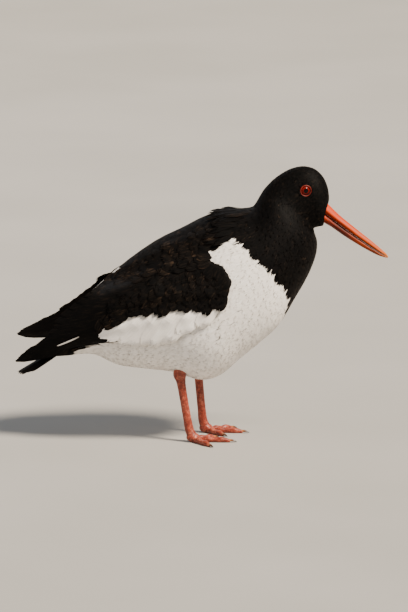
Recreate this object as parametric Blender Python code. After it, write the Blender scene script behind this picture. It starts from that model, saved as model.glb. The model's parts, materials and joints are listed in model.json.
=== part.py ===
"""Life-size Eurasian oystercatcher standing on both feet, a still museum model.

Frame: +X is the way the bird faces, +Y its left, +Z up, metres. The soles lie at z = 0
and the origin is the centre of the model's footprint box.
Sizes below are in millimetres unless a name says otherwise.
"""

import math
from typing import NamedTuple

import bmesh
import bpy
import numpy as np
from mathutils import Matrix, Vector
from mathutils.bvhtree import BVHTree

MM = 0.001
GAP = 0.3
RIGHT, LEFT = -1, 1
SIDE_NAMES = {RIGHT: "right", LEFT: "left"}
BODY_SIDES = 28
SMOOTH_DEGREES = 40
FLAT_DEGREES = 0.2


class Station(NamedTuple):
    """One slanted cross-section of the body: its points on the back and on the belly line."""

    top_x: float
    top_z: float
    low_x: float
    low_z: float
    half_width: float
    sag: float


# From the tail coverts along the back, round the breast and over the crown to the bill.
BODY_STATIONS = (
    Station(-146.0, 88.0, -147.0, 76.5, 10.0, 0.00),
    Station(-129.0, 110.0, -127.0, 77.5, 17.5, 0.00),
    Station(-108.8, 131.5, -101.4, 79.5, 27.0, 0.00),
    Station(-86.5, 152.0, -77.2, 69.5, 36.0, 0.05),
    Station(-64.2, 170.5, -52.1, 66.0, 43.5, 0.08),
    Station(-40.0, 187.0, -27.0, 63.0, 48.0, 0.10),
    Station(-16.7, 198.5, -1.0, 55.5, 50.5, 0.12),
    Station(1.9, 208.0, 17.7, 60.0, 51.5, 0.12),
    Station(19.5, 213.0, 37.2, 76.5, 51.0, 0.10),
    Station(34.4, 215.5, 56.7, 92.5, 49.0, 0.08),
    Station(43.7, 216.5, 72.5, 108.0, 46.0, 0.05),
    Station(48.4, 218.1, 87.0, 132.0, 41.5, 0.02),
    Station(51.2, 221.9, 98.6, 152.5, 37.0, 0.00),
    Station(53.9, 226.8, 106.0, 171.3, 32.5, 0.00),
    Station(56.7, 231.6, 107.4, 185.0, 28.0, 0.00),
    Station(60.5, 236.6, 104.2, 195.6, 23.0, 0.02),
    Station(67.0, 243.2, 104.6, 198.2, 20.0, 0.05),
    Station(75.3, 249.3, 107.0, 198.9, 18.4, 0.06),
    Station(84.6, 253.8, 109.7, 199.4, 17.6, 0.06),
    Station(94.9, 255.6, 112.1, 199.9, 16.9, 0.06),
    Station(105.1, 253.0, 113.2, 200.6, 15.4, 0.05),
    Station(112.8, 245.8, 113.6, 201.8, 12.8, 0.05),
    Station(117.0, 236.4, 113.6, 203.4, 10.2, 0.05),
    Station(118.4, 227.6, 113.2, 205.4, 8.0, 0.00),
    Station(118.2, 220.4, 112.6, 207.6, 5.6, 0.00),
)
TAIL_END, TORSO_BACK, NECK_BACK, HEAD_BACK = 0.0, 1.0, 11.0, 15.0
BODY_FRONT = len(BODY_STATIONS) - 1.0
CUT_SHARE = 0.05
STATION_STEPS = {TAIL_END: 0.5, TORSO_BACK: 2 / 3, NECK_BACK: 2 / 3, HEAD_BACK: 0.5}


class BillRow(NamedTuple):
    """Bill section: its points on the culmen and the lower edge, and its half width."""

    top_x: float
    top_z: float
    low_x: float
    low_z: float
    half_width: float


BILL_ROWS = (
    BillRow(111.0, 227.0, 104.0, 208.0, 7.0),
    BillRow(118.3, 219.6, 112.5, 203.6, 6.0),
    BillRow(124.2, 213.7, 117.0, 201.0, 5.5),
    BillRow(129.9, 208.4, 121.6, 198.2, 5.0),
    BillRow(139.8, 200.2, 132.0, 190.8, 4.2),
    BillRow(149.1, 192.7, 142.1, 184.3, 3.4),
    BillRow(158.5, 185.2, 152.6, 178.0, 2.7),
    BillRow(167.4, 177.6, 163.2, 172.5, 1.9),
    BillRow(171.5, 173.9, 169.2, 170.4, 1.3),
    BillRow(173.7, 170.6, 173.0, 169.5, 0.6),
)
# Depth of the mouth line, and of the deepest start of the lower half, as shares of the bill's.
MOUTH_SHARE = 0.53
LOWER_START_SHARE = 0.8
BILL_QUARTER = 5
NOSTRIL_START = Vector((119.5, 0.0, 210.6))
NOSTRIL_END = Vector((134.5, 0.0, 198.4))
NOSTRIL_OUT = 5.3
NOSTRIL_RADII = (10.5, 1.3, 0.8)
BALL_SEGMENTS, BALL_RINGS = 14, 9
NOSTRIL_SEGMENTS, NOSTRIL_RINGS = 12, 8

EYE_CENTRE = Vector((95.7, 10.9, 235.2))
EYE_RADIUS = 6.2
EYE_FORWARD_DEGREES = 12.0
LID_TUBE = 0.75
LID_ANGLE_DEGREES = 42.0
LID_AROUND, LID_TUBE_SIDES = 18, 6


class LegRow(NamedTuple):
    """Section of a leg at a height, for the near leg: place, fore-aft and sideways radii."""

    x: float
    z: float
    fore: float
    side: float


LEG_ROWS = (
    LegRow(2.0, 92.0, 8.0, 6.5),
    LegRow(-13.0, 76.0, 6.6, 5.4),
    LegRow(-19.0, 67.5, 6.3, 5.2),
    LegRow(-20.0, 62.0, 6.0, 4.8),
    LegRow(-18.6, 55.0, 4.3, 3.5),
    LegRow(-15.8, 38.0, 3.9, 2.9),
    LegRow(-12.6, 20.0, 4.0, 3.0),
    LegRow(-10.9, 11.5, 4.5, 3.7),
)
LEG_SIDES = 12
ANKLE_ROW = 2
# How far above the ankle the leg goes on leaning, as a share of the height below it.
LEAN_LIMIT = 1.3


class Stance(NamedTuple):
    """How one leg stands: shift forward at ankle and foot, distance out, toe headings."""

    ankle_shift: float
    foot_shift: float
    ankle_out: float
    foot_out: float
    inner_degrees: float
    middle_degrees: float
    outer_degrees: float


# Headings are measured from +X towards the bird's left.
STANCES = {
    RIGHT: Stance(0.0, 0.0, 21.0, 23.0, 38.0, -4.0, -58.0),
    LEFT: Stance(17.0, 12.0, 21.0, 23.0, -50.0, -6.0, 34.0),
}
BALL = Vector((-7.6, 0.0, 4.4))
BALL_RADII = Vector((6.6, 5.6, 5.4))
JOINT_FORE, JOINT_SIDE = 5.4, 4.6
TOE_LENGTHS = {"inner": 25.0, "middle": 34.5, "outer": 29.0}
TOE_RADII = (3.3, 2.7, 3.0, 2.5, 2.7, 1.8)
TOE_SIDES = 8
TOE_RISE = 2.5
TOE_HEIGHT_SHARE = 1.02
CLAW_LENGTH = 6.2
CLAW_RADIUS = 1.45
CLAW_SIDES = 8
CLAW_SHARES = (0.0, 0.35, 0.7, 1.0)
CLAW_TAPER, CLAW_TAPER_POWER = 0.82, 1.3
CLAW_FLATNESS = 0.8
CLAW_START_Z, CLAW_DROP = 1.9, 1.1
# How far below the floor the pads are modelled before they are cut flat on it.
FLOOR_BITE = 0.35
WEB_REACH = 0.42
WEB_THICKNESS = 1.6
WEB_Z = 0.8
# Distances along both toes that the web's root is sunk and its free edge is drawn in.
WEB_ROOT, WEB_INSET = 2.0, 1.6


class VaneRow(NamedTuple):
    """Row of overlapping feathers: lines of roots and tips on a sheet, and how they lie."""

    count: int
    roots: tuple
    tips: tuple
    width: float
    root_lift: float
    tip_lift: float
    lift_step: float
    tilt: float
    rise: float
    bluntness: float


# Share of a vane's length and width at each of its sections.
VANE_PROFILE = ((0.0, 0.55), (0.45, 1.0), (0.86, 0.86), (1.0, 0.25))
VANE_THICKNESS = 0.6
VANE_TIP_THICKNESS = 0.5
VANE_CAMBER = 0.010
# Share of a vane's length past which its bluntness shapes it.
VANE_TIP_START = 0.8
LENGTH_SPREAD = 0.035

# Tail: a roof-shaped sheet sloping down to the back. Rows give (distance back, sideways).
TAIL_ROOT = Vector((-112.0, 0.0, 97.5))
TAIL_SLOPE_DEGREES = 31.0
TAIL_ROOF = 0.008
TAIL_ROW = VaneRow(
    count=6,
    roots=((23.0, 1.8), (23.0, 6.5)),
    tips=((70.5, 2.5), (68.0, 7.5), (57.0, 11.0)),
    width=8.5,
    root_lift=0.4,
    tip_lift=0.0,
    lift_step=-0.95,
    tilt=0.0,
    rise=0.5,
    bluntness=1.6,
)

# The folded wing lies on a smooth surface over the side view, laid on the body and drawn
# in behind it. Rows give (x, z) of the near wing.
LAY_ROWS = ((-125.0, 9.5), (-90.0, 9.0), (-60.0, 6.5), (0.0, 4.2), (40.0, 3.6))
DRAPE_X = (-186.0, 44.0)
DRAPE_Z = (36.0, 222.0)
DRAPE_STEP = 2.0
DRAPE_BLEND = 5.0
DRAPE_BLUR = 6
FAR = 300.0


class RearRow(NamedTuple):
    """Section of the space that the folded wings fill behind the body."""

    x: float
    half_width: float
    mid_z: float
    half_height: float


REAR_ROWS = (
    RearRow(-186.0, 9.0, 72.0, 24.0),
    RearRow(-165.0, 12.5, 77.0, 28.0),
    RearRow(-140.0, 20.0, 84.0, 36.0),
    RearRow(-110.0, 30.0, 94.0, 46.0),
    RearRow(-80.0, 38.0, 108.0, 56.0),
    RearRow(-50.0, 40.0, 120.0, 60.0),
    RearRow(0.0, 30.0, 130.0, 70.0),
    RearRow(44.0, 10.0, 140.0, 70.0),
)
REAR_LEAST = 0.2
SHOULDER = Vector((28.0, 0.0, 150.0))
# How far each wing bends up and shifts forward, growing from the shoulder to the bend's reach.
WING_TURN_DEGREES = {RIGHT: 0.0, LEFT: -7.6}
WING_SHIFT = {RIGHT: 0.0, LEFT: 9.0}
WING_BEND_REACH = 200.0
WING_BEND_POWER = 1.6
WING_THICKNESS = 12.0
WING_COLUMNS = 7
# Room kept round the wing's core for its feathers: past its outline, and through it.
WING_ROOM = 1.2
WING_ROOM_DEPTH = 15.0


class WingRow(NamedTuple):
    """Upper and lower edge of the wing's core at a place along it, in the side view."""

    top_x: float
    top_z: float
    low_x: float
    low_z: float


WING_CORE_ROWS = (
    WingRow(29.5, 158.0, 29.5, 147.0),
    WingRow(24.0, 170.5, 24.0, 134.0),
    WingRow(8.0, 177.0, 8.0, 122.0),
    WingRow(-16.0, 174.0, -16.0, 110.0),
    WingRow(-42.0, 165.5, -42.0, 101.0),
    WingRow(-62.0, 156.0, -64.0, 99.0),
    WingRow(-80.0, 143.0, -84.0, 100.0),
)
PRIMARIES = VaneRow(
    count=6,
    roots=((-66.0, 104.0), (-62.0, 121.0)),
    tips=((-177.0, 71.5), (-167.5, 82.0), (-152.0, 93.5)),
    width=12.5,
    root_lift=-8.0,
    tip_lift=-6.6,
    lift_step=1.15,
    tilt=0.0,
    rise=0.35,
    bluntness=0.7,
)
TERTIALS = VaneRow(
    count=5,
    roots=((-44.0, 126.0), (-40.0, 150.0)),
    tips=((-146.0, 96.5), (-135.0, 109.0), (-112.0, 125.0)),
    width=17.0,
    root_lift=-2.5,
    tip_lift=-0.5,
    lift_step=1.15,
    tilt=0.0,
    rise=0.35,
    bluntness=1.2,
)
SECONDARIES = VaneRow(
    count=8,
    roots=((-52.0, 112.0), (-30.0, 118.0), (16.0, 138.0)),
    tips=((-99.0, 96.0), (-75.0, 94.0), (-38.0, 94.5), (1.0, 115.0)),
    width=15.0,
    root_lift=-2.4,
    tip_lift=1.6,
    lift_step=0.0,
    tilt=0.14,
    rise=1.0,
    bluntness=1.5,
)
COVERTS = VaneRow(
    count=8,
    roots=((-46.0, 133.0), (-20.0, 139.0), (24.0, 150.0)),
    tips=((-93.0, 110.0), (-62.0, 117.0), (-25.0, 121.0), (13.0, 127.0)),
    width=16.0,
    root_lift=-2.4,
    tip_lift=2.4,
    lift_step=0.0,
    tilt=0.14,
    rise=1.0,
    bluntness=1.6,
)
LESSER_COVERTS = VaneRow(
    count=7,
    roots=((-42.0, 150.0), (-12.0, 156.0), (22.0, 161.0)),
    tips=((-78.0, 134.0), (-44.0, 142.0), (0.0, 144.0)),
    width=15.0,
    root_lift=-2.4,
    tip_lift=2.4,
    lift_step=0.0,
    tilt=0.14,
    rise=1.0,
    bluntness=1.6,
)
WING_ROWS = (PRIMARIES, TERTIALS, SECONDARIES, COVERTS, LESSER_COVERTS)

# Feathers of the shoulder and mantle lie on the back, seen from above: rows give (x, y).
BACK_X = (-130.0, 64.0)
BACK_Y = (-58.0, 58.0)
SHOULDER_FEATHERS = VaneRow(
    count=6,
    roots=((-46.0, 22.0), (22.0, 34.0)),
    tips=((-88.0, 26.0), (-46.0, 36.0), (-12.0, 42.0)),
    width=15.0,
    root_lift=-2.4,
    tip_lift=2.2,
    lift_step=0.0,
    tilt=-0.14,
    rise=1.0,
    bluntness=1.4,
)
BACK_FEATHERS = VaneRow(
    count=5,
    roots=((-30.0, 9.0), (34.0, 22.0)),
    tips=((-72.0, 13.0), (-34.0, 21.0), (2.0, 27.0)),
    width=15.0,
    root_lift=-2.4,
    tip_lift=2.6,
    lift_step=0.0,
    tilt=-0.14,
    rise=1.0,
    bluntness=1.3,
)
MANTLE_FEATHERS = VaneRow(
    count=3,
    roots=((-4.0, 4.0), (32.0, 7.0)),
    tips=((-34.0, 6.0), (-12.0, 7.0), (7.0, 8.0)),
    width=11.0,
    root_lift=-2.4,
    tip_lift=3.6,
    lift_step=0.0,
    tilt=0.0,
    rise=1.0,
    bluntness=0.9,
)
BACK_ROWS = (SHOULDER_FEATHERS, BACK_FEATHERS, MANTLE_FEATHERS)

# Seeds of the unevenness in length: each row of the back adds its place to the first.
BACK_SEED = 10
TAIL_SEED = 20

COLOURS = {
    "plumage_black": ((0.018, 0.016, 0.015), 0.62),
    "plumage_white": ((0.80, 0.78, 0.74), 0.75),
    "bill_orange": ((0.80, 0.16, 0.03), 0.38),
    "eye_red": ((0.45, 0.02, 0.01), 0.08),
    "lid_orange": ((0.75, 0.10, 0.03), 0.45),
    "leg_pink": ((0.66, 0.22, 0.14), 0.48),
    "claw_horn": ((0.06, 0.04, 0.03), 0.35),
}


def clear_scene():
    """Empty the scene."""
    for item in list(bpy.data.objects):
        bpy.data.objects.remove(item, do_unlink=True)


def material(name):
    """Principled material with the colour and roughness listed for it."""
    found = bpy.data.materials.get(name)
    if found:
        return found
    colour, roughness = COLOURS[name]
    made = bpy.data.materials.new(name)
    made.use_nodes = True
    shader = made.node_tree.nodes["Principled BSDF"]
    shader.inputs["Base Color"].default_value = (*colour, 1.0)
    shader.inputs["Roughness"].default_value = roughness
    shader.inputs["Metallic"].default_value = 0.0
    made.diffuse_color = (*colour, 1.0)
    return made


def new_object(name, mesh_builder, finish=None):
    """Object from a bmesh in millimetres, turned to metres, faces out, shaded smooth."""
    bmesh.ops.recalc_face_normals(mesh_builder, faces=mesh_builder.faces)
    mesh = bpy.data.meshes.new(name)
    mesh_builder.transform(Matrix.Scale(MM, 4))
    mesh_builder.to_mesh(mesh)
    mesh_builder.free()
    mesh.shade_smooth()
    mesh.set_sharp_from_angle(angle=math.radians(SMOOTH_DEGREES))
    made = bpy.data.objects.new(name, mesh)
    bpy.context.scene.collection.objects.link(made)
    if finish:
        mesh.materials.append(material(finish))
    return made


def loft(rings):
    """Closed bmesh through rings of as many points each, its ends filled flat."""
    built = bmesh.new()
    rows = [[built.verts.new(point) for point in ring] for ring in rings]
    count = len(rows[0])
    for near, far in zip(rows, rows[1:]):
        for i in range(count):
            j = (i + 1) % count
            built.faces.new((near[i], near[j], far[j], far[i]))
    built.faces.new(rows[0])
    built.faces.new(rows[-1])
    return built


def smooth_row(rows, place):
    """Row at a fractional place on the smooth curve through the rows."""
    last = len(rows) - 1
    place = min(max(place, 0.0), float(last))
    i = min(int(place), last - 1)
    t = place - i
    before = np.array(rows[max(i - 1, 0)], float)
    start = np.array(rows[i], float)
    end = np.array(rows[i + 1], float)
    after = np.array(rows[min(i + 2, last)], float)
    return 0.5 * (
        2 * start
        + (end - before) * t
        + (2 * before - 5 * start + 4 * end - after) * t**2
        + (3 * start - before - 3 * end + after) * t**3
    )


def body_ring(place, sides=BODY_SIDES):
    """Points round the body at a station, the first on the back."""
    top_x, top_z, low_x, low_z, half_width, sag = smooth_row(BODY_STATIONS, place)
    centre = np.array(((top_x + low_x) / 2, 0.0, (top_z + low_z) / 2))
    up = np.array(((top_x - low_x) / 2, 0.0, (top_z - low_z) / 2))
    depth = np.linalg.norm(up)
    up /= depth
    ring = []
    for k in range(sides):
        angle = 2 * math.pi * k / sides
        rise = math.cos(angle) - sag * math.sin(angle) ** 2
        out = math.sin(angle)
        ring.append(centre + up * depth * rise + np.array((0, half_width * out, 0)))
    return ring


def body_places():
    """Places of all the body's sections: fixed steps, closer where two nodes part."""
    starts = sorted(STATION_STEPS)
    places = [TAIL_END]
    for start, end in zip(starts, starts[1:] + [BODY_FRONT]):
        count = round((end - start) / STATION_STEPS[start])
        places += [start + (end - start) * k / count for k in range(1, count)]
        if end < BODY_FRONT:
            places += [end - CUT_SHARE, end + CUT_SHARE]
    return places + [BODY_FRONT]


def body_loft(start=TAIL_END, end=BODY_FRONT, grow=0.0):
    """Closed bmesh of the body's sections from one place to another."""
    places = [place for place in body_places() if start <= place <= end]
    return grown(loft([body_ring(place) for place in places]), grow)


def grown(built, reach):
    """The closed bmesh with its surface moved out by a reach."""
    if reach:
        bmesh.ops.recalc_face_normals(built, faces=built.faces)
        built.normal_update()
        moves = [vert.normal * (reach * vert.calc_shell_factor()) for vert in built.verts]
        for vert, move in zip(built.verts, moves):
            vert.co += move
    return built


def unite(target, pieces):
    """Join closed pieces to the target with one Boolean union, and remove them."""
    group = bpy.data.collections.new("pieces")
    bpy.context.scene.collection.children.link(group)
    for piece in pieces:
        bpy.context.scene.collection.objects.unlink(piece)
        group.objects.link(piece)
    union = target.modifiers.new("union", "BOOLEAN")
    union.operation = "UNION"
    union.operand_type = "COLLECTION"
    union.collection = group
    union.solver = "MANIFOLD"
    apply_modifiers(target)
    for piece in list(group.objects):
        bpy.data.objects.remove(piece, do_unlink=True)
    bpy.data.collections.remove(group)
    return target


def cut(target, *cutters):
    """Take the cutters out of the target, and remove them."""
    for cutter in cutters:
        difference = target.modifiers.new("cut", "BOOLEAN")
        difference.operation = "DIFFERENCE"
        difference.object = cutter
        difference.solver = "MANIFOLD"
        apply_modifiers(target)
        bpy.data.objects.remove(cutter, do_unlink=True)
    return target


def apply_modifiers(target):
    """Replace the mesh by its evaluated one."""
    bpy.context.view_layer.update()
    graph = bpy.context.evaluated_depsgraph_get()
    mesh = bpy.data.meshes.new_from_object(target.evaluated_get(graph))
    target.modifiers.clear()
    target.data = mesh


def keep_largest(target):
    """Keep only the closed surface with the largest volume, its split flat facets merged."""
    built = bmesh.new()
    built.from_mesh(target.data)
    bmesh.ops.triangulate(built, faces=built.faces)
    left = set(built.faces)
    shells = []
    while left:
        seed = left.pop()
        shell, front = [seed], [seed]
        while front:
            face = front.pop()
            for edge in face.edges:
                for other in edge.link_faces:
                    if other in left:
                        left.remove(other)
                        shell.append(other)
                        front.append(other)
        volume = sum(f.verts[0].co.dot(f.verts[1].co.cross(f.verts[2].co)) for f in shell)
        shells.append((volume, shell))
    shells.sort(key=lambda pair: pair[0])
    for _, shell in shells[:-1]:
        bmesh.ops.delete(built, geom=shell, context="FACES")
    bmesh.ops.dissolve_limit(
        built, angle_limit=math.radians(FLAT_DEGREES), verts=built.verts, edges=built.edges
    )
    bmesh.ops.triangulate(built, faces=built.faces)
    built.to_mesh(target.data)
    built.free()
    return target


def ellipse_ring(centre, across, along, radius_a, radius_b, sides):
    """Points of an ellipse with the two given unit directions."""
    ring = []
    for k in range(sides):
        angle = 2 * math.pi * k / sides
        out = across * (radius_a * math.cos(angle)) + along * (radius_b * math.sin(angle))
        ring.append(centre + out)
    return ring


def ball_object(name, centre, radii, grow=0.0, segments=BALL_SEGMENTS, rings=BALL_RINGS):
    """Ellipsoid object, used for eyes and joints."""
    built = bmesh.new()
    bmesh.ops.create_uvsphere(built, u_segments=segments, v_segments=rings, radius=1.0)
    scale = Matrix.Diagonal((radii[0] + grow, radii[1] + grow, radii[2] + grow, 1.0))
    built.transform(Matrix.Translation(centre) @ scale)
    return new_object(name, built)


def mirrored(point, side):
    """The point on the wanted side of the bird."""
    return Vector((point[0], abs(point[1]) * side, point[2]))


def eye_axis(side):
    """Unit direction in which an eye looks."""
    turn = math.radians(EYE_FORWARD_DEGREES)
    return Vector((math.sin(turn), math.cos(turn) * side, 0.0))


def lid_object(name, side, grow=0.0):
    """Ring of bare skin round an eye."""
    axis = eye_axis(side)
    reach = EYE_RADIUS + GAP + LID_TUBE
    turn = math.radians(LID_ANGLE_DEGREES)
    centre = mirrored(EYE_CENTRE, side) + axis * (reach * math.cos(turn))
    radius = reach * math.sin(turn)
    up = Vector((0.0, 0.0, 1.0))
    across = axis.cross(up)
    built = bmesh.new()
    tube = LID_TUBE + grow
    rows = []
    for k in range(LID_AROUND):
        angle = 2 * math.pi * k / LID_AROUND
        out = across * math.cos(angle) + up * math.sin(angle)
        ring = ellipse_ring(centre + out * radius, out, axis, tube, tube, LID_TUBE_SIDES)
        rows.append([built.verts.new(point) for point in ring])
    for k in range(LID_AROUND):
        near, far = rows[k], rows[(k + 1) % LID_AROUND]
        for i in range(LID_TUBE_SIDES):
            j = (i + 1) % LID_TUBE_SIDES
            built.faces.new((near[i], near[j], far[j], far[i]))
    return new_object(name, built)


def make_head():
    """Head with sockets for the eyes and the bare rings round them."""
    head = new_object("head", body_loft(HEAD_BACK, BODY_FRONT), "plumage_black")
    for side in (RIGHT, LEFT):
        radii = Vector((EYE_RADIUS,) * 3)
        cut(
            head,
            ball_object("socket", mirrored(EYE_CENTRE, side), radii, GAP),
            lid_object("lid_socket", side, GAP),
        )
    head.data.materials.clear()
    head.data.materials.append(material("plumage_black"))
    return keep_largest(head)


def make_eyes():
    """Both eyes and the lids round them."""
    for side in (RIGHT, LEFT):
        name = SIDE_NAMES[side]
        eye = ball_object("eye_" + name, mirrored(EYE_CENTRE, side), Vector((EYE_RADIUS,) * 3))
        eye.data.materials.append(material("eye_red"))
        lid = lid_object("eyelid_" + name, side)
        lid.data.materials.append(material("lid_orange"))


def bill_half(name, upper):
    """Upper or lower half of the bill, flat along the mouth line."""
    rings = []
    for row in BILL_ROWS:
        top = Vector((row.top_x, 0.0, row.top_z))
        down = Vector((row.low_x - row.top_x, 0.0, row.low_z - row.top_z))
        depth = down.length
        down.normalize()
        mouth = depth * MOUTH_SHARE
        half = []
        for k in range(BILL_QUARTER + 1):
            angle = 0.5 * math.pi * k / BILL_QUARTER
            if upper:
                place = mouth * (1 - math.cos(angle))
            else:
                flat = min(mouth + GAP, depth * LOWER_START_SHARE)
                place = flat + (depth - flat) * math.cos(angle)
            half.append((row.half_width * math.sin(angle), place))
        outline = half + [(-out, place) for out, place in reversed(half[1:])]
        rings.append([top + down * place + Vector((0, out, 0)) for out, place in outline])
    return new_object(name, loft(rings))


def nostril_cutter(side):
    """Long narrow body that cuts the nasal groove into the side of the upper bill."""
    along = (NOSTRIL_END - NOSTRIL_START).normalized()
    down = Vector((along.z, 0.0, -along.x))
    middle = (NOSTRIL_START + NOSTRIL_END) / 2 + Vector((0, NOSTRIL_OUT * side, 0))
    built = bmesh.new()
    bmesh.ops.create_uvsphere(
        built, u_segments=NOSTRIL_SEGMENTS, v_segments=NOSTRIL_RINGS, radius=1.0
    )
    frame = Matrix((along, Vector((0, 1, 0)), down)).transposed().to_4x4()
    built.transform(Matrix.Translation(middle) @ frame @ Matrix.Diagonal((*NOSTRIL_RADII, 1.0)))
    return new_object("nostril", built)


def make_bill():
    """Both halves of the bill, ending against the feathers of the face."""
    for name, upper in (("bill_upper", True), ("bill_lower", False)):
        half = bill_half(name, upper)
        if upper:
            cut(half, nostril_cutter(RIGHT), nostril_cutter(LEFT))
        cut(half, new_object("face", body_loft(HEAD_BACK, BODY_FRONT, GAP)))
        keep_largest(half)
        half.data.materials.clear()
        half.data.materials.append(material("bill_orange"))


def slab(top, low):
    """Closed bmesh between two grids of points, split into triangles alike on both faces."""
    built = bmesh.new()
    upper = [[built.verts.new(point) for point in row] for row in top]
    lower = [[built.verts.new(point) for point in row] for row in low]
    rows, columns = len(top), len(top[0])
    for i in range(rows - 1):
        for j in range(columns - 1):
            for grid in (upper, lower):
                built.faces.new((grid[i][j], grid[i + 1][j], grid[i + 1][j + 1]))
                built.faces.new((grid[i][j], grid[i + 1][j + 1], grid[i][j + 1]))
    rim = [(i, 0) for i in range(rows)]
    rim += [(rows - 1, j) for j in range(1, columns)]
    rim += [(i, columns - 1) for i in range(rows - 2, -1, -1)]
    rim += [(0, j) for j in range(columns - 2, 0, -1)]
    for (i, j), (m, n) in zip(rim, rim[1:] + rim[:1]):
        built.faces.new((upper[i][j], upper[m][n], lower[m][n], lower[i][j]))
    return built


def vane(sheet, root, tip, row, extra_lift):
    """One feather on a sheet, from its root to its tip, as a thin curved blade."""
    step = np.array(tip) - np.array(root)
    length = np.linalg.norm(step)
    across = np.array((-step[1], step[0])) / length
    top, low = [], []
    for share, breadth in VANE_PROFILE:
        if share > VANE_TIP_START:
            breadth **= 1 / row.bluntness
        reach = row.width * breadth / 2
        rise = min(1.0, share / row.rise)
        lift = row.root_lift + (row.tip_lift - row.root_lift) * rise + extra_lift
        thick = VANE_THICKNESS + (VANE_TIP_THICKNESS - VANE_THICKNESS) * share
        upper, lower = [], []
        for s in (-1.0, 0.0, 1.0):
            p, q = np.array(root) + step * share + across * (reach * s)
            height = lift + row.tilt * reach * s - VANE_CAMBER * reach * s * s
            upper.append(sheet(p, q, height))
            lower.append(sheet(p, q, height - thick))
        top.append(upper)
        low.append(lower)
    return new_object("vane", slab(top, low))


def vane_row(sheet, row, seed, sink=0.0):
    """All the feathers of a row, a little uneven in length, sunk by an amount."""
    spread = np.random.RandomState(seed)
    vanes = []
    for k in range(row.count):
        share = k / (row.count - 1)
        root = smooth_row(row.roots, share * (len(row.roots) - 1))
        tip = smooth_row(row.tips, share * (len(row.tips) - 1))
        tip = root + (tip - root) * (1 + LENGTH_SPREAD * spread.uniform(-1, 0))
        vanes.append(vane(sheet, root, tip, row, row.lift_step * k - sink))
    return vanes


class Field:
    """Smooth height field over a plane: how far out a surface laid on the body lies."""

    def __init__(self, across, along, outward, lay, behind=None):
        body = body_loft()
        bmesh.ops.recalc_face_normals(body, faces=body.faces)
        tree = BVHTree.FromBMesh(body)
        body.free()
        self.first = (across[0], along[0])
        self.outward = outward
        field = np.array([
            [self.height(tree, u, v, lay, behind) for v in np.arange(*along, DRAPE_STEP)]
            for u in np.arange(*across, DRAPE_STEP)
        ])
        for _ in range(DRAPE_BLUR):
            wide = np.pad(field, 1, mode="edge")
            around = wide[:-2, 1:-1] + wide[2:, 1:-1] + wide[1:-1, :-2] + wide[1:-1, 2:]
            field = around / 8 + field / 2
        self.field = field

    def height(self, tree, u, v, lay, behind):
        """Height of the unsmoothed surface over one point of the plane."""
        start = Vector((u, FAR, v)) if self.outward == "y" else Vector((u, v, FAR))
        ray = Vector((0, -1, 0)) if self.outward == "y" else Vector((0, 0, -1))
        hit = tree.ray_cast(start, ray)[0]
        laid = (hit.y if self.outward == "y" else hit.z) + lay(u) if hit else 0.0
        if not behind:
            return laid
        rear = behind(u, v)
        return 0.5 * (laid + rear + math.hypot(laid - rear, DRAPE_BLEND))

    def out(self, u, v):
        """Height over a point of the plane."""
        rows, columns = self.field.shape
        a = min(max((u - self.first[0]) / DRAPE_STEP, 0), rows - 1.001)
        b = min(max((v - self.first[1]) / DRAPE_STEP, 0), columns - 1.001)
        i, j = int(a), int(b)
        a, b = a - i, b - j
        near = self.field[i, j] * (1 - b) + self.field[i, j + 1] * b
        far = self.field[i + 1, j] * (1 - b) + self.field[i + 1, j + 1] * b
        return near * (1 - a) + far * a

    def point(self, u, v, lift, side=LEFT):
        """Point on the surface lifted along its normal, on one side of the bird."""
        slope_u = (self.out(u + DRAPE_STEP, v) - self.out(u - DRAPE_STEP, v)) / (2 * DRAPE_STEP)
        slope_v = (self.out(u, v + DRAPE_STEP) - self.out(u, v - DRAPE_STEP)) / (2 * DRAPE_STEP)
        steep = lift / math.sqrt(1 + slope_u**2 + slope_v**2)
        height = self.out(u, v) + steep
        u, v = u - slope_u * steep, v - slope_v * steep
        if self.outward == "y":
            return Vector((u, height * side, v))
        return Vector((u, v * side, height))


def wing_lay(x):
    """How far the outside of the folded wing stands off the body."""
    places, lays = zip(*LAY_ROWS)
    return float(np.interp(x, places, lays))


def rear_width(x, z):
    """Half width of the space behind the body that the wings fill, in the side view."""
    rows = np.array(REAR_ROWS)
    half, middle, height = (np.interp(x, rows[:, 0], rows[:, k]) for k in (1, 2, 3))
    return half * math.sqrt(max(REAR_LEAST, 1 - ((z - middle) / height) ** 2))


def wing_sheet(field, side):
    """Sheet of one wing: the side-view field after the wing is turned at the shoulder."""
    whole_turn = math.radians(WING_TURN_DEGREES[side])

    def sheet(p, q, lift):
        dx, dz = p - SHOULDER.x, q - SHOULDER.z
        share = min(1.0, max(0.0, -dx / WING_BEND_REACH)) ** WING_BEND_POWER
        turn = whole_turn * share
        x = SHOULDER.x + dx * math.cos(turn) - dz * math.sin(turn) + WING_SHIFT[side] * share
        z = SHOULDER.z + dx * math.sin(turn) + dz * math.cos(turn)
        return field.point(x, z, lift, side)

    return sheet


def wing_core(sheet, grow, outer, inner):
    """Closed bmesh of the wing's core between two lifts, its outline moved out by grow."""
    count = (len(WING_CORE_ROWS) - 1) * 2
    top, low = [], []
    for k in range(count + 1):
        top_x, top_z, low_x, low_z = smooth_row(WING_CORE_ROWS, k / 2)
        end = (k == 0) - (k == count)
        upper = np.array((top_x + grow * end, top_z + grow))
        lower = np.array((low_x + grow * end, low_z - grow))
        spots = [upper + (lower - upper) * s for s in np.linspace(0, 1, WING_COLUMNS)]
        top.append([sheet(p, q, outer) for p, q in spots])
        low.append([sheet(p, q, inner) for p, q in spots])
    return slab(top, low)


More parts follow.
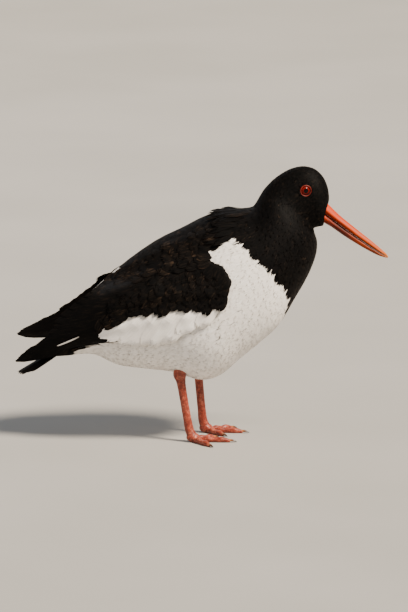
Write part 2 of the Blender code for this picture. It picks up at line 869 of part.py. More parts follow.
def make_wing(side, field):
    """Folded wing: a core laid on the body, coverts over it and flight feathers behind."""
    sheet = wing_sheet(field, side)
    wing = new_object("wing_" + SIDE_NAMES[side], wing_core(sheet, 0.0, 0.0, -WING_THICKNESS))
    pieces = []
    for seed, row in enumerate(WING_ROWS):
        pieces += vane_row(sheet, row, seed)
    unite(wing, pieces)
    cut(wing, new_object("body", body_loft(grow=GAP)))
    keep_largest(wing)
    wing.data.materials.clear()
    wing.data.materials.append(material("plumage_black"))


def make_trunk(wing_field):
    """Neck and torso, parted by a thin plane, with the shoulder feathers on the torso."""
    new_object("neck", body_loft(NECK_BACK, HEAD_BACK), "plumage_black")
    torso = new_object("torso", body_loft(TORSO_BACK, NECK_BACK), "plumage_white")
    back = Field(BACK_X, BACK_Y, "z", lambda x: 0.0)
    feathers = []
    for side in (RIGHT, LEFT):
        sheet = wing_sheet(wing_field, side)
        room = new_object("room", wing_core(sheet, WING_ROOM, WING_ROOM_DEPTH, -WING_ROOM_DEPTH))
        for seed, row in enumerate(BACK_ROWS, BACK_SEED):
            for feather in vane_row(lambda p, q, lift: back.point(p, q, lift, side), row, seed):
                feathers.append(cut(feather, copy_of(room)))
        bpy.data.objects.remove(room, do_unlink=True)
    unite(torso, feathers)
    keep_largest(torso)


def copy_of(item):
    """Copy of an object with a mesh of its own."""
    made = item.copy()
    made.data = item.data.copy()
    bpy.context.scene.collection.objects.link(made)
    return made


def tail_sheet(side):
    """Sheet of one half of the tail."""
    slope = math.radians(TAIL_SLOPE_DEGREES)
    along = Vector((-math.cos(slope), 0.0, -math.sin(slope)))
    normal = Vector((-math.sin(slope), 0.0, math.cos(slope)))

    def sheet(p, q, lift):
        middle = TAIL_ROOT + along * p + normal * (lift - TAIL_ROOF * q * q)
        return middle + Vector((0, q * side, 0))

    return sheet


def make_tail():
    """Tail: the last of the coverts as a core, and twelve feathers, the middle pair on top."""
    tail = new_object("tail", body_loft(TAIL_END, TORSO_BACK), "plumage_black")
    feathers = []
    for side, sink in ((RIGHT, 0.0), (LEFT, -TAIL_ROW.lift_step)):
        feathers += vane_row(tail_sheet(side), TAIL_ROW, TAIL_SEED, sink)
    unite(tail, feathers)
    keep_largest(tail)


def leg_centre(row, side, stance):
    """Centre of a leg section on its side, moved with the stance."""
    share = (row.z - BALL.z) / (LEG_ROWS[ANKLE_ROW].z - BALL.z)
    share = min(max(share, 0.0), LEAN_LIMIT)
    x = row.x + stance.foot_shift + (stance.ankle_shift - stance.foot_shift) * share
    y = stance.foot_out + (stance.ankle_out - stance.foot_out) * share
    return Vector((x, y * side, row.z))


def leg_ring(row, side, stance):
    """Points round a leg section, level."""
    centre = leg_centre(row, side, stance)
    forward, sideways = Vector((1, 0, 0)), Vector((0, 1, 0))
    return ellipse_ring(centre, forward, sideways, row.fore, row.side, LEG_SIDES)


def make_leg(side):
    """Shank and ankle, from the belly feathers down to the foot."""
    stance = STANCES[side]
    count = (len(LEG_ROWS) - 1) * 2
    rows = [LegRow(*smooth_row(LEG_ROWS, k / 2)) for k in range(count + 1)]
    rings = [leg_ring(row, side, stance) for row in rows]
    leg = new_object("leg_" + SIDE_NAMES[side], loft(rings))
    cut(leg, new_object("body", body_loft(grow=GAP)))
    keep_largest(leg)
    leg.data.materials.clear()
    leg.data.materials.append(material("leg_pink"))


def toe_path(side, toe):
    """Start point and unit heading of a toe."""
    stance = STANCES[side]
    degrees = {
        "inner": stance.inner_degrees,
        "middle": stance.middle_degrees,
        "outer": stance.outer_degrees,
    }[toe]
    heading = Vector((math.cos(math.radians(degrees)), math.sin(math.radians(degrees)), 0.0))
    start = Vector((BALL.x + stance.foot_shift, stance.foot_out * side, TOE_RISE))
    return start, heading


def toe_object(side, toe):
    """One toe, with the swellings of its pads."""
    start, heading = toe_path(side, toe)
    across = Vector((-heading.y, heading.x, 0.0))
    up = Vector((0, 0, 1))
    rings = []
    last = len(TOE_RADII) - 1
    for k, radius in enumerate(TOE_RADII):
        share = k / last
        centre = start + heading * (TOE_LENGTHS[toe] * share)
        height = radius * TOE_HEIGHT_SHARE
        centre.z = height - FLOOR_BITE
        rings.append(ellipse_ring(centre, across, up, radius, height, TOE_SIDES))
    return new_object("toe", loft(rings))


def web_object(side):
    """Small web of skin between the middle and the outer toe."""
    start, middle = toe_path(side, "middle")
    _, outer = toe_path(side, "outer")
    reach_a = start + middle * (TOE_LENGTHS["middle"] * WEB_REACH)
    reach_b = start + outer * (TOE_LENGTHS["outer"] * WEB_REACH)
    root = start - (middle + outer) * WEB_ROOT
    free = (reach_a + reach_b) / 2 - (middle + outer) * WEB_INSET
    corners = [root, reach_a, free, reach_b]
    rings = []
    for height in (WEB_Z, WEB_Z + WEB_THICKNESS):
        rings.append([Vector((corner.x, corner.y, height)) for corner in corners])
    return new_object("web", loft(rings))


def make_foot(side):
    """Foot: the joint under the shank, three toes and a web, cut flat on the floor."""
    stance = STANCES[side]
    centre = Vector((BALL.x + stance.foot_shift, stance.foot_out * side, BALL.z))
    foot = ball_object("foot_" + SIDE_NAMES[side], centre, BALL_RADII, segments=12, rings=8)
    pieces = [toe_object(side, toe) for toe in TOE_LENGTHS]
    pieces.append(web_object(side))
    upper = np.array(LEG_ROWS[-1])
    lower = np.array((BALL.x, BALL.z, JOINT_FORE, JOINT_SIDE))
    rows = [LegRow(*(upper + (lower - upper) * share)) for share in (0.0, 0.5, 1.0)]
    rings = [leg_ring(row, side, stance) for row in rows]
    for point in rings[0]:
        point.z -= GAP
    pieces.append(new_object("joint", loft(rings)))
    unite(foot, pieces)
    floor = bmesh.new()
    bmesh.ops.create_cube(floor, size=1.0)
    floor.transform(Matrix.Translation((0, 0, -50.0)) @ Matrix.Diagonal((400.0, 400.0, 100.0, 1.0)))
    cut(foot, new_object("floor", floor))
    keep_largest(foot)
    foot.data.materials.clear()
    foot.data.materials.append(material("leg_pink"))


def make_claws(side):
    """A short claw on the end of each toe, clear of the floor."""
    for toe, length in TOE_LENGTHS.items():
        start, heading = toe_path(side, toe)
        across = Vector((-heading.y, heading.x, 0.0))
        rings = []
        for share in CLAW_SHARES:
            radius = CLAW_RADIUS * (1 - CLAW_TAPER * share**CLAW_TAPER_POWER)
            centre = start + heading * (length + GAP + CLAW_LENGTH * share)
            centre.z = CLAW_START_Z - CLAW_DROP * share**2
            up = Vector((0, 0, 1))
            rings.append(ellipse_ring(centre, across, up, radius * CLAW_FLATNESS, radius, CLAW_SIDES))
        new_object(f"claw_{toe}_{SIDE_NAMES[side]}", loft(rings), "claw_horn")


def stand_on_origin():
    """Hold every part by one empty, placed so that the origin is under the middle of the box."""
    shown = list(bpy.context.scene.collection.objects)
    corners = [corner for item in shown for corner in item.bound_box]
    lowest = [min(corner[k] for corner in corners) for k in range(3)]
    highest = [max(corner[k] for corner in corners) for k in range(3)]
    bird = bpy.data.objects.new("bird", None)
    bpy.context.scene.collection.objects.link(bird)
    bird.location = (-(lowest[0] + highest[0]) / 2, -(lowest[1] + highest[1]) / 2, 0.0)
    for item in shown:
        item.parent = bird


def main():
    """Build every part of the bird."""
    clear_scene()
    field = Field(DRAPE_X, DRAPE_Z, "y", wing_lay, rear_width)
    make_trunk(field)
    make_head()
    make_eyes()
    make_bill()
    make_tail()
    for side in (RIGHT, LEFT):
        make_wing(side, field)
        make_leg(side)
        make_foot(side)
        make_claws(side)
    stand_on_origin()


main()
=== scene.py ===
"""Looks of the life-size Eurasian oystercatcher: skin, plumage, bill, eyes, legs and studio.

Sizes are in millimetres in the bird's own frame, +X forward, +Y its left and +Z up. They are
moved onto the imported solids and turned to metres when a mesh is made.
"""

import json
import logging
import math
from dataclasses import dataclass, field
from enum import Enum
from typing import Sequence

import bmesh
import bpy
import numpy as np
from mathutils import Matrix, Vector, noise
from mathutils.bvhtree import BVHTree

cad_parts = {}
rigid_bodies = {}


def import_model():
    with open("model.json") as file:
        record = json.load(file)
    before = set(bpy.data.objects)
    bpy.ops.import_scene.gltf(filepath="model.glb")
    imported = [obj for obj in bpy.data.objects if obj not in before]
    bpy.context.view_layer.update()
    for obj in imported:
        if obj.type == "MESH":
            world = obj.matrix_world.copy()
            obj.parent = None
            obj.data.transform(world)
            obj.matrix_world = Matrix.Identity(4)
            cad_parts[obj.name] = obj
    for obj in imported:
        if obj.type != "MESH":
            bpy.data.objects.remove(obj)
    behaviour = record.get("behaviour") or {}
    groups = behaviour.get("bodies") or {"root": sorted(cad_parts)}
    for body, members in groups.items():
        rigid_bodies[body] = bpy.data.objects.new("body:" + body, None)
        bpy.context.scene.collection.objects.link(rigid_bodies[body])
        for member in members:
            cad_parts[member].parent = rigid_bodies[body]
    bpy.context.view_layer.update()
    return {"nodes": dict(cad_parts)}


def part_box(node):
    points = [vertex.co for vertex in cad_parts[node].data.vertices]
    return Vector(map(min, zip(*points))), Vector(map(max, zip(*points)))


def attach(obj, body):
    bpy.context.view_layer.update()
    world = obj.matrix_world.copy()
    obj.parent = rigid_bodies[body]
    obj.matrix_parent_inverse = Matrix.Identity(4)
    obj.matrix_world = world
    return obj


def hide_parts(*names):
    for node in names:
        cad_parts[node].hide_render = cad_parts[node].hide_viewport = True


LOG = logging.getLogger("oystercatcher")
MM = 0.001
BODY = "root"
BAKE_MAP = "OFBake"
BARB_MAP = "barbs"
PATCH = 0.003
COAT_SEED, MANTLE_SEED, QUILL_SEED, COVERT_SEED, SCAPULAR_SEED, TAIL_SEED = 1, 9, 20, 30, 40, 50

# A body station: back point (x, z), belly point (x, z), half width and sag of the flanks.
BODY_STATIONS = np.array((
    (-146.0, 88.0, -147.0, 76.5, 10.0, 0.00),
    (-129.0, 110.0, -127.0, 77.5, 17.5, 0.00),
    (-108.8, 131.5, -101.4, 79.5, 27.0, 0.00),
    (-86.5, 152.0, -77.2, 69.5, 36.0, 0.05),
    (-64.2, 170.5, -52.1, 66.0, 43.5, 0.08),
    (-40.0, 187.0, -27.0, 63.0, 48.0, 0.10),
    (-16.7, 198.5, -1.0, 55.5, 50.5, 0.12),
    (1.9, 208.0, 17.7, 60.0, 51.5, 0.12),
    (19.5, 213.0, 37.2, 76.5, 51.0, 0.10),
    (34.4, 215.5, 56.7, 92.5, 49.0, 0.08),
    (43.7, 216.5, 72.5, 108.0, 46.0, 0.05),
    (48.4, 218.1, 87.0, 132.0, 41.5, 0.02),
    (51.2, 221.9, 98.6, 152.5, 37.0, 0.00),
    (53.9, 226.8, 106.0, 171.3, 32.5, 0.00),
    (56.7, 231.6, 107.4, 185.0, 28.0, 0.00),
    (60.5, 236.6, 104.2, 195.6, 23.0, 0.02),
    (67.0, 243.2, 104.6, 198.2, 20.0, 0.05),
    (75.3, 249.3, 107.0, 198.9, 18.4, 0.06),
    (84.6, 253.8, 109.7, 199.4, 17.6, 0.06),
    (94.9, 255.6, 112.1, 199.9, 16.9, 0.06),
    (105.1, 253.0, 113.2, 200.6, 15.4, 0.05),
    (112.8, 245.8, 113.6, 201.8, 12.8, 0.05),
    (117.0, 236.4, 113.6, 203.4, 10.2, 0.05),
    (118.4, 227.6, 113.2, 205.4, 8.0, 0.00),
    (118.2, 220.4, 112.6, 207.6, 5.6, 0.00),
))
LAST_STATION = len(BODY_STATIONS) - 1.0
FLESH_NODES = ("head", "neck", "torso", "tail")

# A bill section: culmen point (x, z), lower point (x, z) and half width.
BILL_SECTIONS = np.array((
    (111.0, 227.0, 104.0, 208.0, 7.0),
    (118.3, 219.6, 112.5, 203.6, 6.0),
    (124.2, 213.7, 117.0, 201.0, 5.5),
    (129.9, 208.4, 121.6, 198.2, 5.0),
    (139.8, 200.2, 132.0, 190.8, 4.2),
    (149.1, 192.7, 142.1, 184.3, 3.4),
    (158.5, 185.2, 152.6, 178.0, 2.7),
    (167.4, 177.6, 163.2, 172.5, 1.9),
    (171.5, 173.9, 169.2, 170.4, 1.3),
    (173.7, 170.6, 173.0, 169.5, 0.6),
))
EYE_CENTRE = np.array((95.7, 10.9, 235.2))
EYE_RADIUS = 6.2
EYE_FORWARD_DEGREES = 12.0

# A leg section: x, z, fore-aft radius and sideways radius.
LEG_SECTIONS = np.array((
    (2.0, 92.0, 8.0, 6.5),
    (-13.0, 76.0, 6.6, 5.4),
    (-19.0, 67.5, 6.3, 5.2),
    (-20.0, 62.0, 6.0, 4.8),
    (-18.6, 55.0, 4.3, 3.5),
    (-15.8, 38.0, 3.9, 2.9),
    (-12.6, 20.0, 4.0, 3.0),
    (-10.9, 11.5, 4.5, 3.7),
    (-7.6, 4.4, 5.4, 4.6),
))


class Side(Enum):
    """Side of the bird, by the sign of Y."""

    RIGHT = -1
    LEFT = 1

    @property
    def label(self) -> str:
        """Lower-case name used in the names of pieces."""
        return self.name.lower()


class Region(Enum):
    """Stretch of the coat: stations along it, and the spacing of its feathers at each."""

    RUMP = ((-0.4, 3.0), (3.3, 3.3))
    HIND = ((3.0, 6.6), (3.5, 3.5))
    FORE = ((6.6, 11.0), (3.3, 3.3))
    NECK = ((11.0, 15.5), (3.2, 1.8))
    HEAD = ((15.5, 19.0, 24.0), (1.8, 1.45, 1.1))

    @property
    def stations(self) -> tuple:
        """Stations from its rear end to its front end."""
        return self.value[0]

    @property
    def spacings(self) -> tuple:
        """Distances between feathers at its stations."""
        return self.value[1]

    @property
    def slot(self) -> str:
        """Slot of the record that its feathers take."""
        return "plumage_black" if self in (Region.NECK, Region.HEAD) else "plumage_white"


def linear(code: str) -> tuple[float, float, float, float]:
    """Turn an sRGB hex code into linear colour.

    Args:
        code: six hex digits, with or without a leading mark.

    Returns:
        Linear red, green and blue, and an alpha of one.
    """
    digits = code.lstrip("#")
    shares = [int(digits[k : k + 2], 16) / 255 for k in (0, 2, 4)]
    red, green, blue = (
        c / 12.92 if c <= 0.04045 else ((c + 0.055) / 1.055) ** 2.4 for c in shares
    )
    return (red, green, blue, 1.0)


def set_inputs(node: bpy.types.Node, values: dict) -> None:
    """Set the inputs of a node, and link those that take another node's output.

    Args:
        node: the node.
        values: value or linked output for each input, by name or index.
    """
    for name, value in values.items():
        if isinstance(value, bpy.types.NodeSocket):
            node.id_data.links.new(value, node.inputs[name])
        else:
            node.inputs[name].default_value = value


def add_node(
    tree: bpy.types.NodeTree, kind: str, inputs: dict | None = None, **settings
) -> bpy.types.Node:
    """Add a shader node with its settings, values and links.

    Args:
        tree: node tree that takes the node.
        kind: type name of the node without its ShaderNode prefix.
        inputs: value or linked output for each input, by name or index.
        settings: attributes of the node.

    Returns:
        The new node.
    """
    made = tree.nodes.new("ShaderNode" + kind)
    for name, value in settings.items():
        setattr(made, name, value)
    set_inputs(made, inputs or {})
    return made


def ramp(tree: bpy.types.NodeTree, place: bpy.types.NodeSocket, tones: tuple) -> bpy.types.NodeSocket:
    """Add a colour ramp.

    Args:
        tree: node tree of the material.
        place: output that picks the colour.
        tones: places and hex colours, in order.

    Returns:
        The colour.
    """
    made = add_node(tree, "ValToRGB", {"Fac": place})
    marks = made.color_ramp.elements
    for mark, (spot, code) in ((marks[0], tones[0]), (marks[1], tones[-1])):
        mark.position, mark.color = spot, linear(code)
    for spot, code in tones[1:-1]:
        marks.new(spot).color = linear(code)
    return made.outputs[0]


def start_material(name: str) -> tuple[bpy.types.Material, bpy.types.NodeTree, bpy.types.Node]:
    """Make a material with a Principled shader.

    Args:
        name: name of the material.

    Returns:
        The material, its node tree and its Principled shader.
    """
    made = bpy.data.materials.new(name)
    made.use_nodes = True
    return made, made.node_tree, made.node_tree.nodes["Principled BSDF"]


def mottle(tree: bpy.types.NodeTree, size_mm: float, detail: float) -> bpy.types.NodeSocket:
    """Add a cloudy pattern with patches of a real size, alike from every side.

    Args:
        tree: node tree of the material.
        size_mm: size of the patches in millimetres.
        detail: number of finer layers.

    Returns:
        The pattern, from 0 to 1.
    """
    space = add_node(tree, "TexCoord").outputs["Object"]
    values = {"Vector": space, "Scale": 1 / (size_mm * MM), "Detail": detail}
    return add_node(tree, "TexNoise", values).outputs["Fac"]


def add_object(name: str, data: bpy.types.ID) -> bpy.types.Object:
    """Add an object to the scene.

    Args:
        name: its name.
        data: its mesh, light or camera.

    Returns:
        The new object.
    """
    made = bpy.data.objects.new(name, data)
    bpy.context.scene.collection.objects.link(made)
    return made


@dataclass(frozen=True)
class PlumageFinish:
    """Feather keratin as grown: dull black barbs with a brown cast, or bare white ones.

    Barbs stand about 0.3 mm apart, too fine to show at this size, so the streaks that stand
    for them are as wide as streak_mm.
    """

    # Barbs grow close and unpolished: soft matt black or white, with no gloss to the eye.
    name: str = "feather_keratin"
    black_tones: tuple = ((0.0, "#020202"), (0.4, "#060505"), (0.7, "#140f0b"), (1.0, "#3b2d22"))
    white_tones: tuple = ((0.0, "#eae4dd"), (0.5, "#f6f1eb"), (1.0, "#fffdfa"))
    root_shade: str = "#cfcbc6"
    streak_mm: float = 1.1
    streak_share: float = 2.5
    tone_span: tuple = (1.0, 2.5)
    specular: float = 0.05
    roughness: float = 0.62
    sheen: float = 0.015
    bump: float = 0.25

    def build(self) -> bpy.types.Material:
        """Build the material from the coat's pale, tone and along attributes.

        Returns:
            The material.
        """
        made, tree, shader = start_material(self.name)
        pale, tone, along = (
            add_node(tree, "Attribute", attribute_name=name).outputs["Fac"]
            for name in ("pale", "tone", "along"))
        barbs = add_node(tree, "UVMap", uv_map=BARB_MAP).outputs["UV"]
        stretch = (1 / self.streak_mm, 0.1 / self.streak_mm, 1.0)
        lines = add_node(tree, "Mapping", {"Vector": barbs, "Scale": stretch}).outputs[0]
        streaks = add_node(
            tree, "TexNoise", {"Vector": lines, "Scale": 1.0, "Detail": 3.0}).outputs["Fac"]
        total = add_node(
            tree, "Math", {0: streaks, 1: self.streak_share, 2: tone}, operation="MULTIPLY_ADD"
        ).outputs[0]
        least, most = self.tone_span
        place = add_node(
            tree, "MapRange", {"Value": total, "From Min": least, "From Max": most}
        ).outputs["Result"]
        black = ramp(tree, place, self.black_tones)
        white = ramp(tree, place, self.white_tones)
        colour = add_node(
            tree, "Mix", {0: pale, 6: black, 7: white}, data_type="RGBA").outputs[2]
        depth = ramp(tree, along, ((0.05, self.root_shade), (0.4, "#ffffff")))
        shaded = add_node(
            tree, "Mix", {0: 1.0, 6: colour, 7: depth}, data_type="RGBA", blend_type="MULTIPLY"
        ).outputs[2]
        relief = add_node(
            tree, "Bump", {"Height": streaks, "Strength": self.bump, "Distance": 0.00025}
        ).outputs["Normal"]
        set_inputs(shader, {
            "Base Color": shaded, "Normal": relief, "Roughness": self.roughness, "IOR": 1.54,
            "Specular IOR Level": self.specular, "Sheen Weight": self.sheen,
            "Sheen Roughness": 0.5, "Sheen Tint": linear("#b9a28c"),
        })
        return made


@dataclass(frozen=True)
class SkinFinish:
    """Feathered skin seen between the feathers: matt, in the coat's own black and white."""

    # Skin and down are dull, so a gap between feathers stays quiet.
    name: str = "skin_under_feathers"
    black: str = "#0d0b0a"
    white: str = "#e6e0d8"

    def build(self) -> bpy.types.Material:
        """Build the material from the skin's pale attribute, with a faint mottle.

        Returns:
            The material.
        """
        made, tree, shader = start_material(self.name)
        pale = add_node(tree, "Attribute", attribute_name="pale").outputs["Fac"]
        flecks = ramp(tree, mottle(tree, 4.0, 4.0), ((0.3, "#b8b4b0"), (0.7, "#ffffff")))
        base = add_node(
            tree, "Mix", {0: pale, 6: linear(self.black), 7: linear(self.white)},
            data_type="RGBA").outputs[2]
        colour = add_node(
            tree, "Mix", {0: 1.0, 6: base, 7: flecks}, data_type="RGBA", blend_type="MULTIPLY"
        ).outputs[2]
        set_inputs(shader, {"Base Color": colour, "Roughness": 0.85, "Specular IOR Level": 0.15})
        return made


@dataclass(frozen=True)
class BillFinish:
    """Horn sheath of the bill, polished by wear: orange red, with painted shade, partly dark pigment,
    along the lower sides.
    """

    # Horn rubbed smooth in sand and mud: a low satin gloss over fine streaks along the bill.
    name: str = "bill_horn"
    tones: tuple = ((0.0, "#c63e0c"), (0.3, "#b83404"), (0.72, "#b04404"), (0.86, "#b85800"),
                    (1.0, "#c27200"))
    # Painted shade, partly the bill's own dark red-brown pigment, on the lower side and in the nasal
    # groove.
    shade_and_pigment: str = "#33100a"
    streak_mm: float = 1.3

    def build(self) -> bpy.types.Material:
        """Build the material from the bill's along attribute and its mask of painted shade, partly
        dark pigment.

        Returns:
            The material.
        """
        made, tree, shader = start_material(self.name)
        along, flank = (
            add_node(tree, "Attribute", attribute_name=name).outputs["Fac"]
            for name in ("along", "flank"))
        lines = add_node(tree, "UVMap", uv_map=BARB_MAP).outputs["UV"]
        grain = add_node(
            tree, "Mapping", {"Vector": lines, "Scale": (1 / self.streak_mm, 0.05, 1.0)}
        ).outputs[0]
        streaks = add_node(
            tree, "TexNoise", {"Vector": grain, "Scale": 1.0, "Detail": 4.0}).outputs["Fac"]
        base = ramp(tree, along, self.tones)
        patchy = add_node(
            tree, "MapRange", {"Value": streaks, "From Min": 0.2, "From Max": 0.6}
        ).outputs["Result"]
        # The painted shade lies in streaky patches.
        amount = add_node(tree, "Math", {0: flank, 1: patchy}, operation="MULTIPLY").outputs[0]
        colour = add_node(
            tree, "Mix", {0: amount, 6: base, 7: linear(self.shade_and_pigment)}, data_type="RGBA"
        ).outputs[2]
        relief = add_node(
            tree, "Bump", {"Height": streaks, "Strength": 0.3, "Distance": 0.0003}
        ).outputs["Normal"]
        set_inputs(shader, {
            "Base Color": colour, "Normal": relief, "Roughness": 0.42, "IOR": 1.54,
            "Specular IOR Level": 0.15,
        })
        return made


@dataclass(frozen=True)
class BareSkinFinish:
    """Bare, scaly or fleshy skin: semi-gloss, with darker seams between its scales."""

    # Dry skin over flesh: each scale takes a small soft light, and the seams are dark lines.
    name: str
    tones: tuple
    seam: str
    grain_mm: float = 2.5
    roughness: float = 0.42

    def build(self) -> bpy.types.Material:
        """Build the material from object space and the seam attribute.

        Returns:
            The material.
        """
        made, tree, shader = start_material(self.name)
        patches = mottle(tree, self.grain_mm, 4.0)
        seam = add_node(tree, "Attribute", attribute_name="seam").outputs["Fac"]
        base = ramp(tree, patches, self.tones)
        colour = add_node(
            tree, "Mix", {0: seam, 6: base, 7: linear(self.seam)}, data_type="RGBA"
        ).outputs[2]
        relief = add_node(
            tree, "Bump", {"Height": patches, "Strength": 0.25, "Distance": 0.0002}
        ).outputs["Normal"]
        set_inputs(shader, {
            "Base Color": colour, "Normal": relief, "Roughness": self.roughness, "IOR": 1.45,
            "Subsurface Weight": 0.1, "Subsurface Radius": (1.0, 0.35, 0.2),
            "Subsurface Scale": 0.001,
        })
        return made


@dataclass(frozen=True)
class HornFinish:
    """Claw horn: dense and glossy, amber at the root and nearly black at the point."""

    # Dense horn worn smooth: a narrow highlight along the back of each claw.
    name: str = "claw_horn"
    tones: tuple = ((0.0, "#b8702f"), (0.35, "#6b3f22"), (0.75, "#241712"), (1.0, "#150f0d"))

    def build(self) -> bpy.types.Material:
        """Build the material from the claw's along attribute, with grain along it.

        Returns:
            The material.
        """
        made, tree, shader = start_material(self.name)
        along = add_node(tree, "Attribute", attribute_name="along").outputs["Fac"]
        centred = add_node(
            tree, "MapRange", {"Value": mottle(tree, 0.8, 3.0), "To Min": -0.15, "To Max": 0.15}
        ).outputs["Result"]
        place = add_node(tree, "Math", {0: along, 1: centred}, operation="ADD").outputs[0]
        colour = ramp(tree, place, self.tones)
        set_inputs(shader, {"Base Color": colour, "Roughness": 0.3, "IOR": 1.54})
        return made


@dataclass(frozen=True)
class EyeFinish:
    """Wet eye: a deep colour under a clear, sharply glossy cornea."""

    # A film of tears over the cornea: one small sharp highlight above a deep colour.
    name: str
    tones: tuple
    fleck_mm: float = 0.6

    def build(self) -> bpy.types.Material:
        """Build the material with fine flecks in the iris.

        Returns:
            The material.
        """
        made, tree, shader = start_material(self.name)
        flecks = mottle(tree, self.fleck_mm, 3.0)
        colour = ramp(tree, flecks, self.tones)
        set_inputs(shader, {
            "Base Color": colour, "Roughness": 0.3, "IOR": 1.376, "Specular IOR Level": 0.1,
            "Coat Weight": 0.15, "Coat Roughness": 0.04,
        })
        return made


@dataclass(frozen=True)
class PlasterFinish:
    """Smooth painted plaster of the studio floor, pale and matt."""

    # Trowelled and painted: an even pale ground that takes soft shadows.
    name: str = "studio_plaster"
    tones: tuple = ((0.35, "#a09d98"), (0.65, "#a5a29d"))
    cloud_mm: float = 300.0

    def build(self) -> bpy.types.Material:
        """Build the material with a cloudiness too faint to draw the eye.

        Returns:
            The material.
        """
        made, tree, shader = start_material(self.name)
        cloud = mottle(tree, self.cloud_mm, 2.0)
        colour = ramp(tree, cloud, self.tones)
        set_inputs(shader, {"Base Color": colour, "Roughness": 0.8, "Specular IOR Level": 0.2})
        return made


def smooth_rows(rows: np.ndarray, place: np.ndarray) -> np.ndarray:
    """Read rows at fractional places on the smooth curve through them.

    Args:
        rows: numbers of each section.
        place: places, from 0 at the first row.

    Returns:
        One row of numbers for each place.
    """
    last = len(rows) - 1
    place = np.asarray(place, float)
    i = np.clip(np.floor(place).astype(int), 0, last - 1)
    t = (place - i)[..., None]
    before, start = rows[np.maximum(i - 1, 0)], rows[i]
    end, after = rows[i + 1], rows[np.minimum(i + 2, last)]
    return 0.5 * (
        2 * start
        + (end - before) * t
        + (2 * before - 5 * start + 4 * end - after) * t**2
        + (3 * start - before - 3 * end + after) * t**3
    )


def smooth_line(points: Sequence, shares: np.ndarray) -> np.ndarray:
    """Points at shares from 0 to 1 of the smooth line through the given ones."""
    rows = np.array(points, float)
    return smooth_rows(rows, np.asarray(shares) * (len(rows) - 1))


def unit(vectors: np.ndarray) -> np.ndarray:
    """Vectors scaled to a length of one."""
    return vectors / np.maximum(np.linalg.norm(vectors, axis=-1, keepdims=True), 1e-9)


class Sheet:
    """Surface on which feathers lie, addressed by two numbers. Subclasses give its points."""

    step_u, step_v, facing = 1.0, 1.0, 1.0

    def point(self, u: np.ndarray, v: np.ndarray) -> np.ndarray:
        """Points of the sheet."""
        raise NotImplementedError

    def bake_place(self, u: np.ndarray, v: np.ndarray) -> np.ndarray:
        """Places on the flat unwrap of the sheet, from 0 to 1."""
        raise NotImplementedError

    def frames(self, u: np.ndarray, v: np.ndarray) -> tuple:
        """Point, change of the point with u and with v, and outward normal.

        Args:
            u: first coordinates of the places.
            v: second coordinates of the places.

        Returns:
            Points, their changes with u and with v, and the outward normals.
        """
        du, dv = self.step_u, self.step_v
        along = (self.point(u + du, v) - self.point(u - du, v)) / (2 * du)
        across = (self.point(u, v + dv) - self.point(u, v - dv)) / (2 * dv)
        return self.point(u, v), along, across, unit(np.cross(along, across)) * self.facing


class BodySheet(Sheet):
    """Outer surface of head, neck and body, by station and by angle from the back."""

    step_u, step_v, facing = 0.02, 0.02, 1.0
    lowest = -0.45

    def point(self, u: np.ndarray, v: np.ndarray) -> np.ndarray:
        """Points of the body's outline.

        Args:
            u: stations.
            v: angles from the back, in radians.

        Returns:
            The points, in millimetres.
        """
        rows = smooth_rows(BODY_STATIONS, np.clip(u, self.lowest, LAST_STATION))
        top, low = rows[..., 0:2], rows[..., 2:4]
        centre, up = (top + low) / 2, (top - low) / 2
        rise = (np.cos(v) - rows[..., 5] * np.sin(v) ** 2)[..., None]
        side = centre + up * rise
        return np.stack([side[..., 0], rows[..., 4] * np.sin(v), side[..., 1]], axis=-1)

    def bake_place(self, u: np.ndarray, v: np.ndarray) -> np.ndarray:
        """Station up and angle across the unwrap."""
        across = np.mod(v / (2 * math.pi), 1.0)
        return np.stack([0.02 + 0.96 * across, 0.04 + 0.94 * u / LAST_STATION], axis=-1)


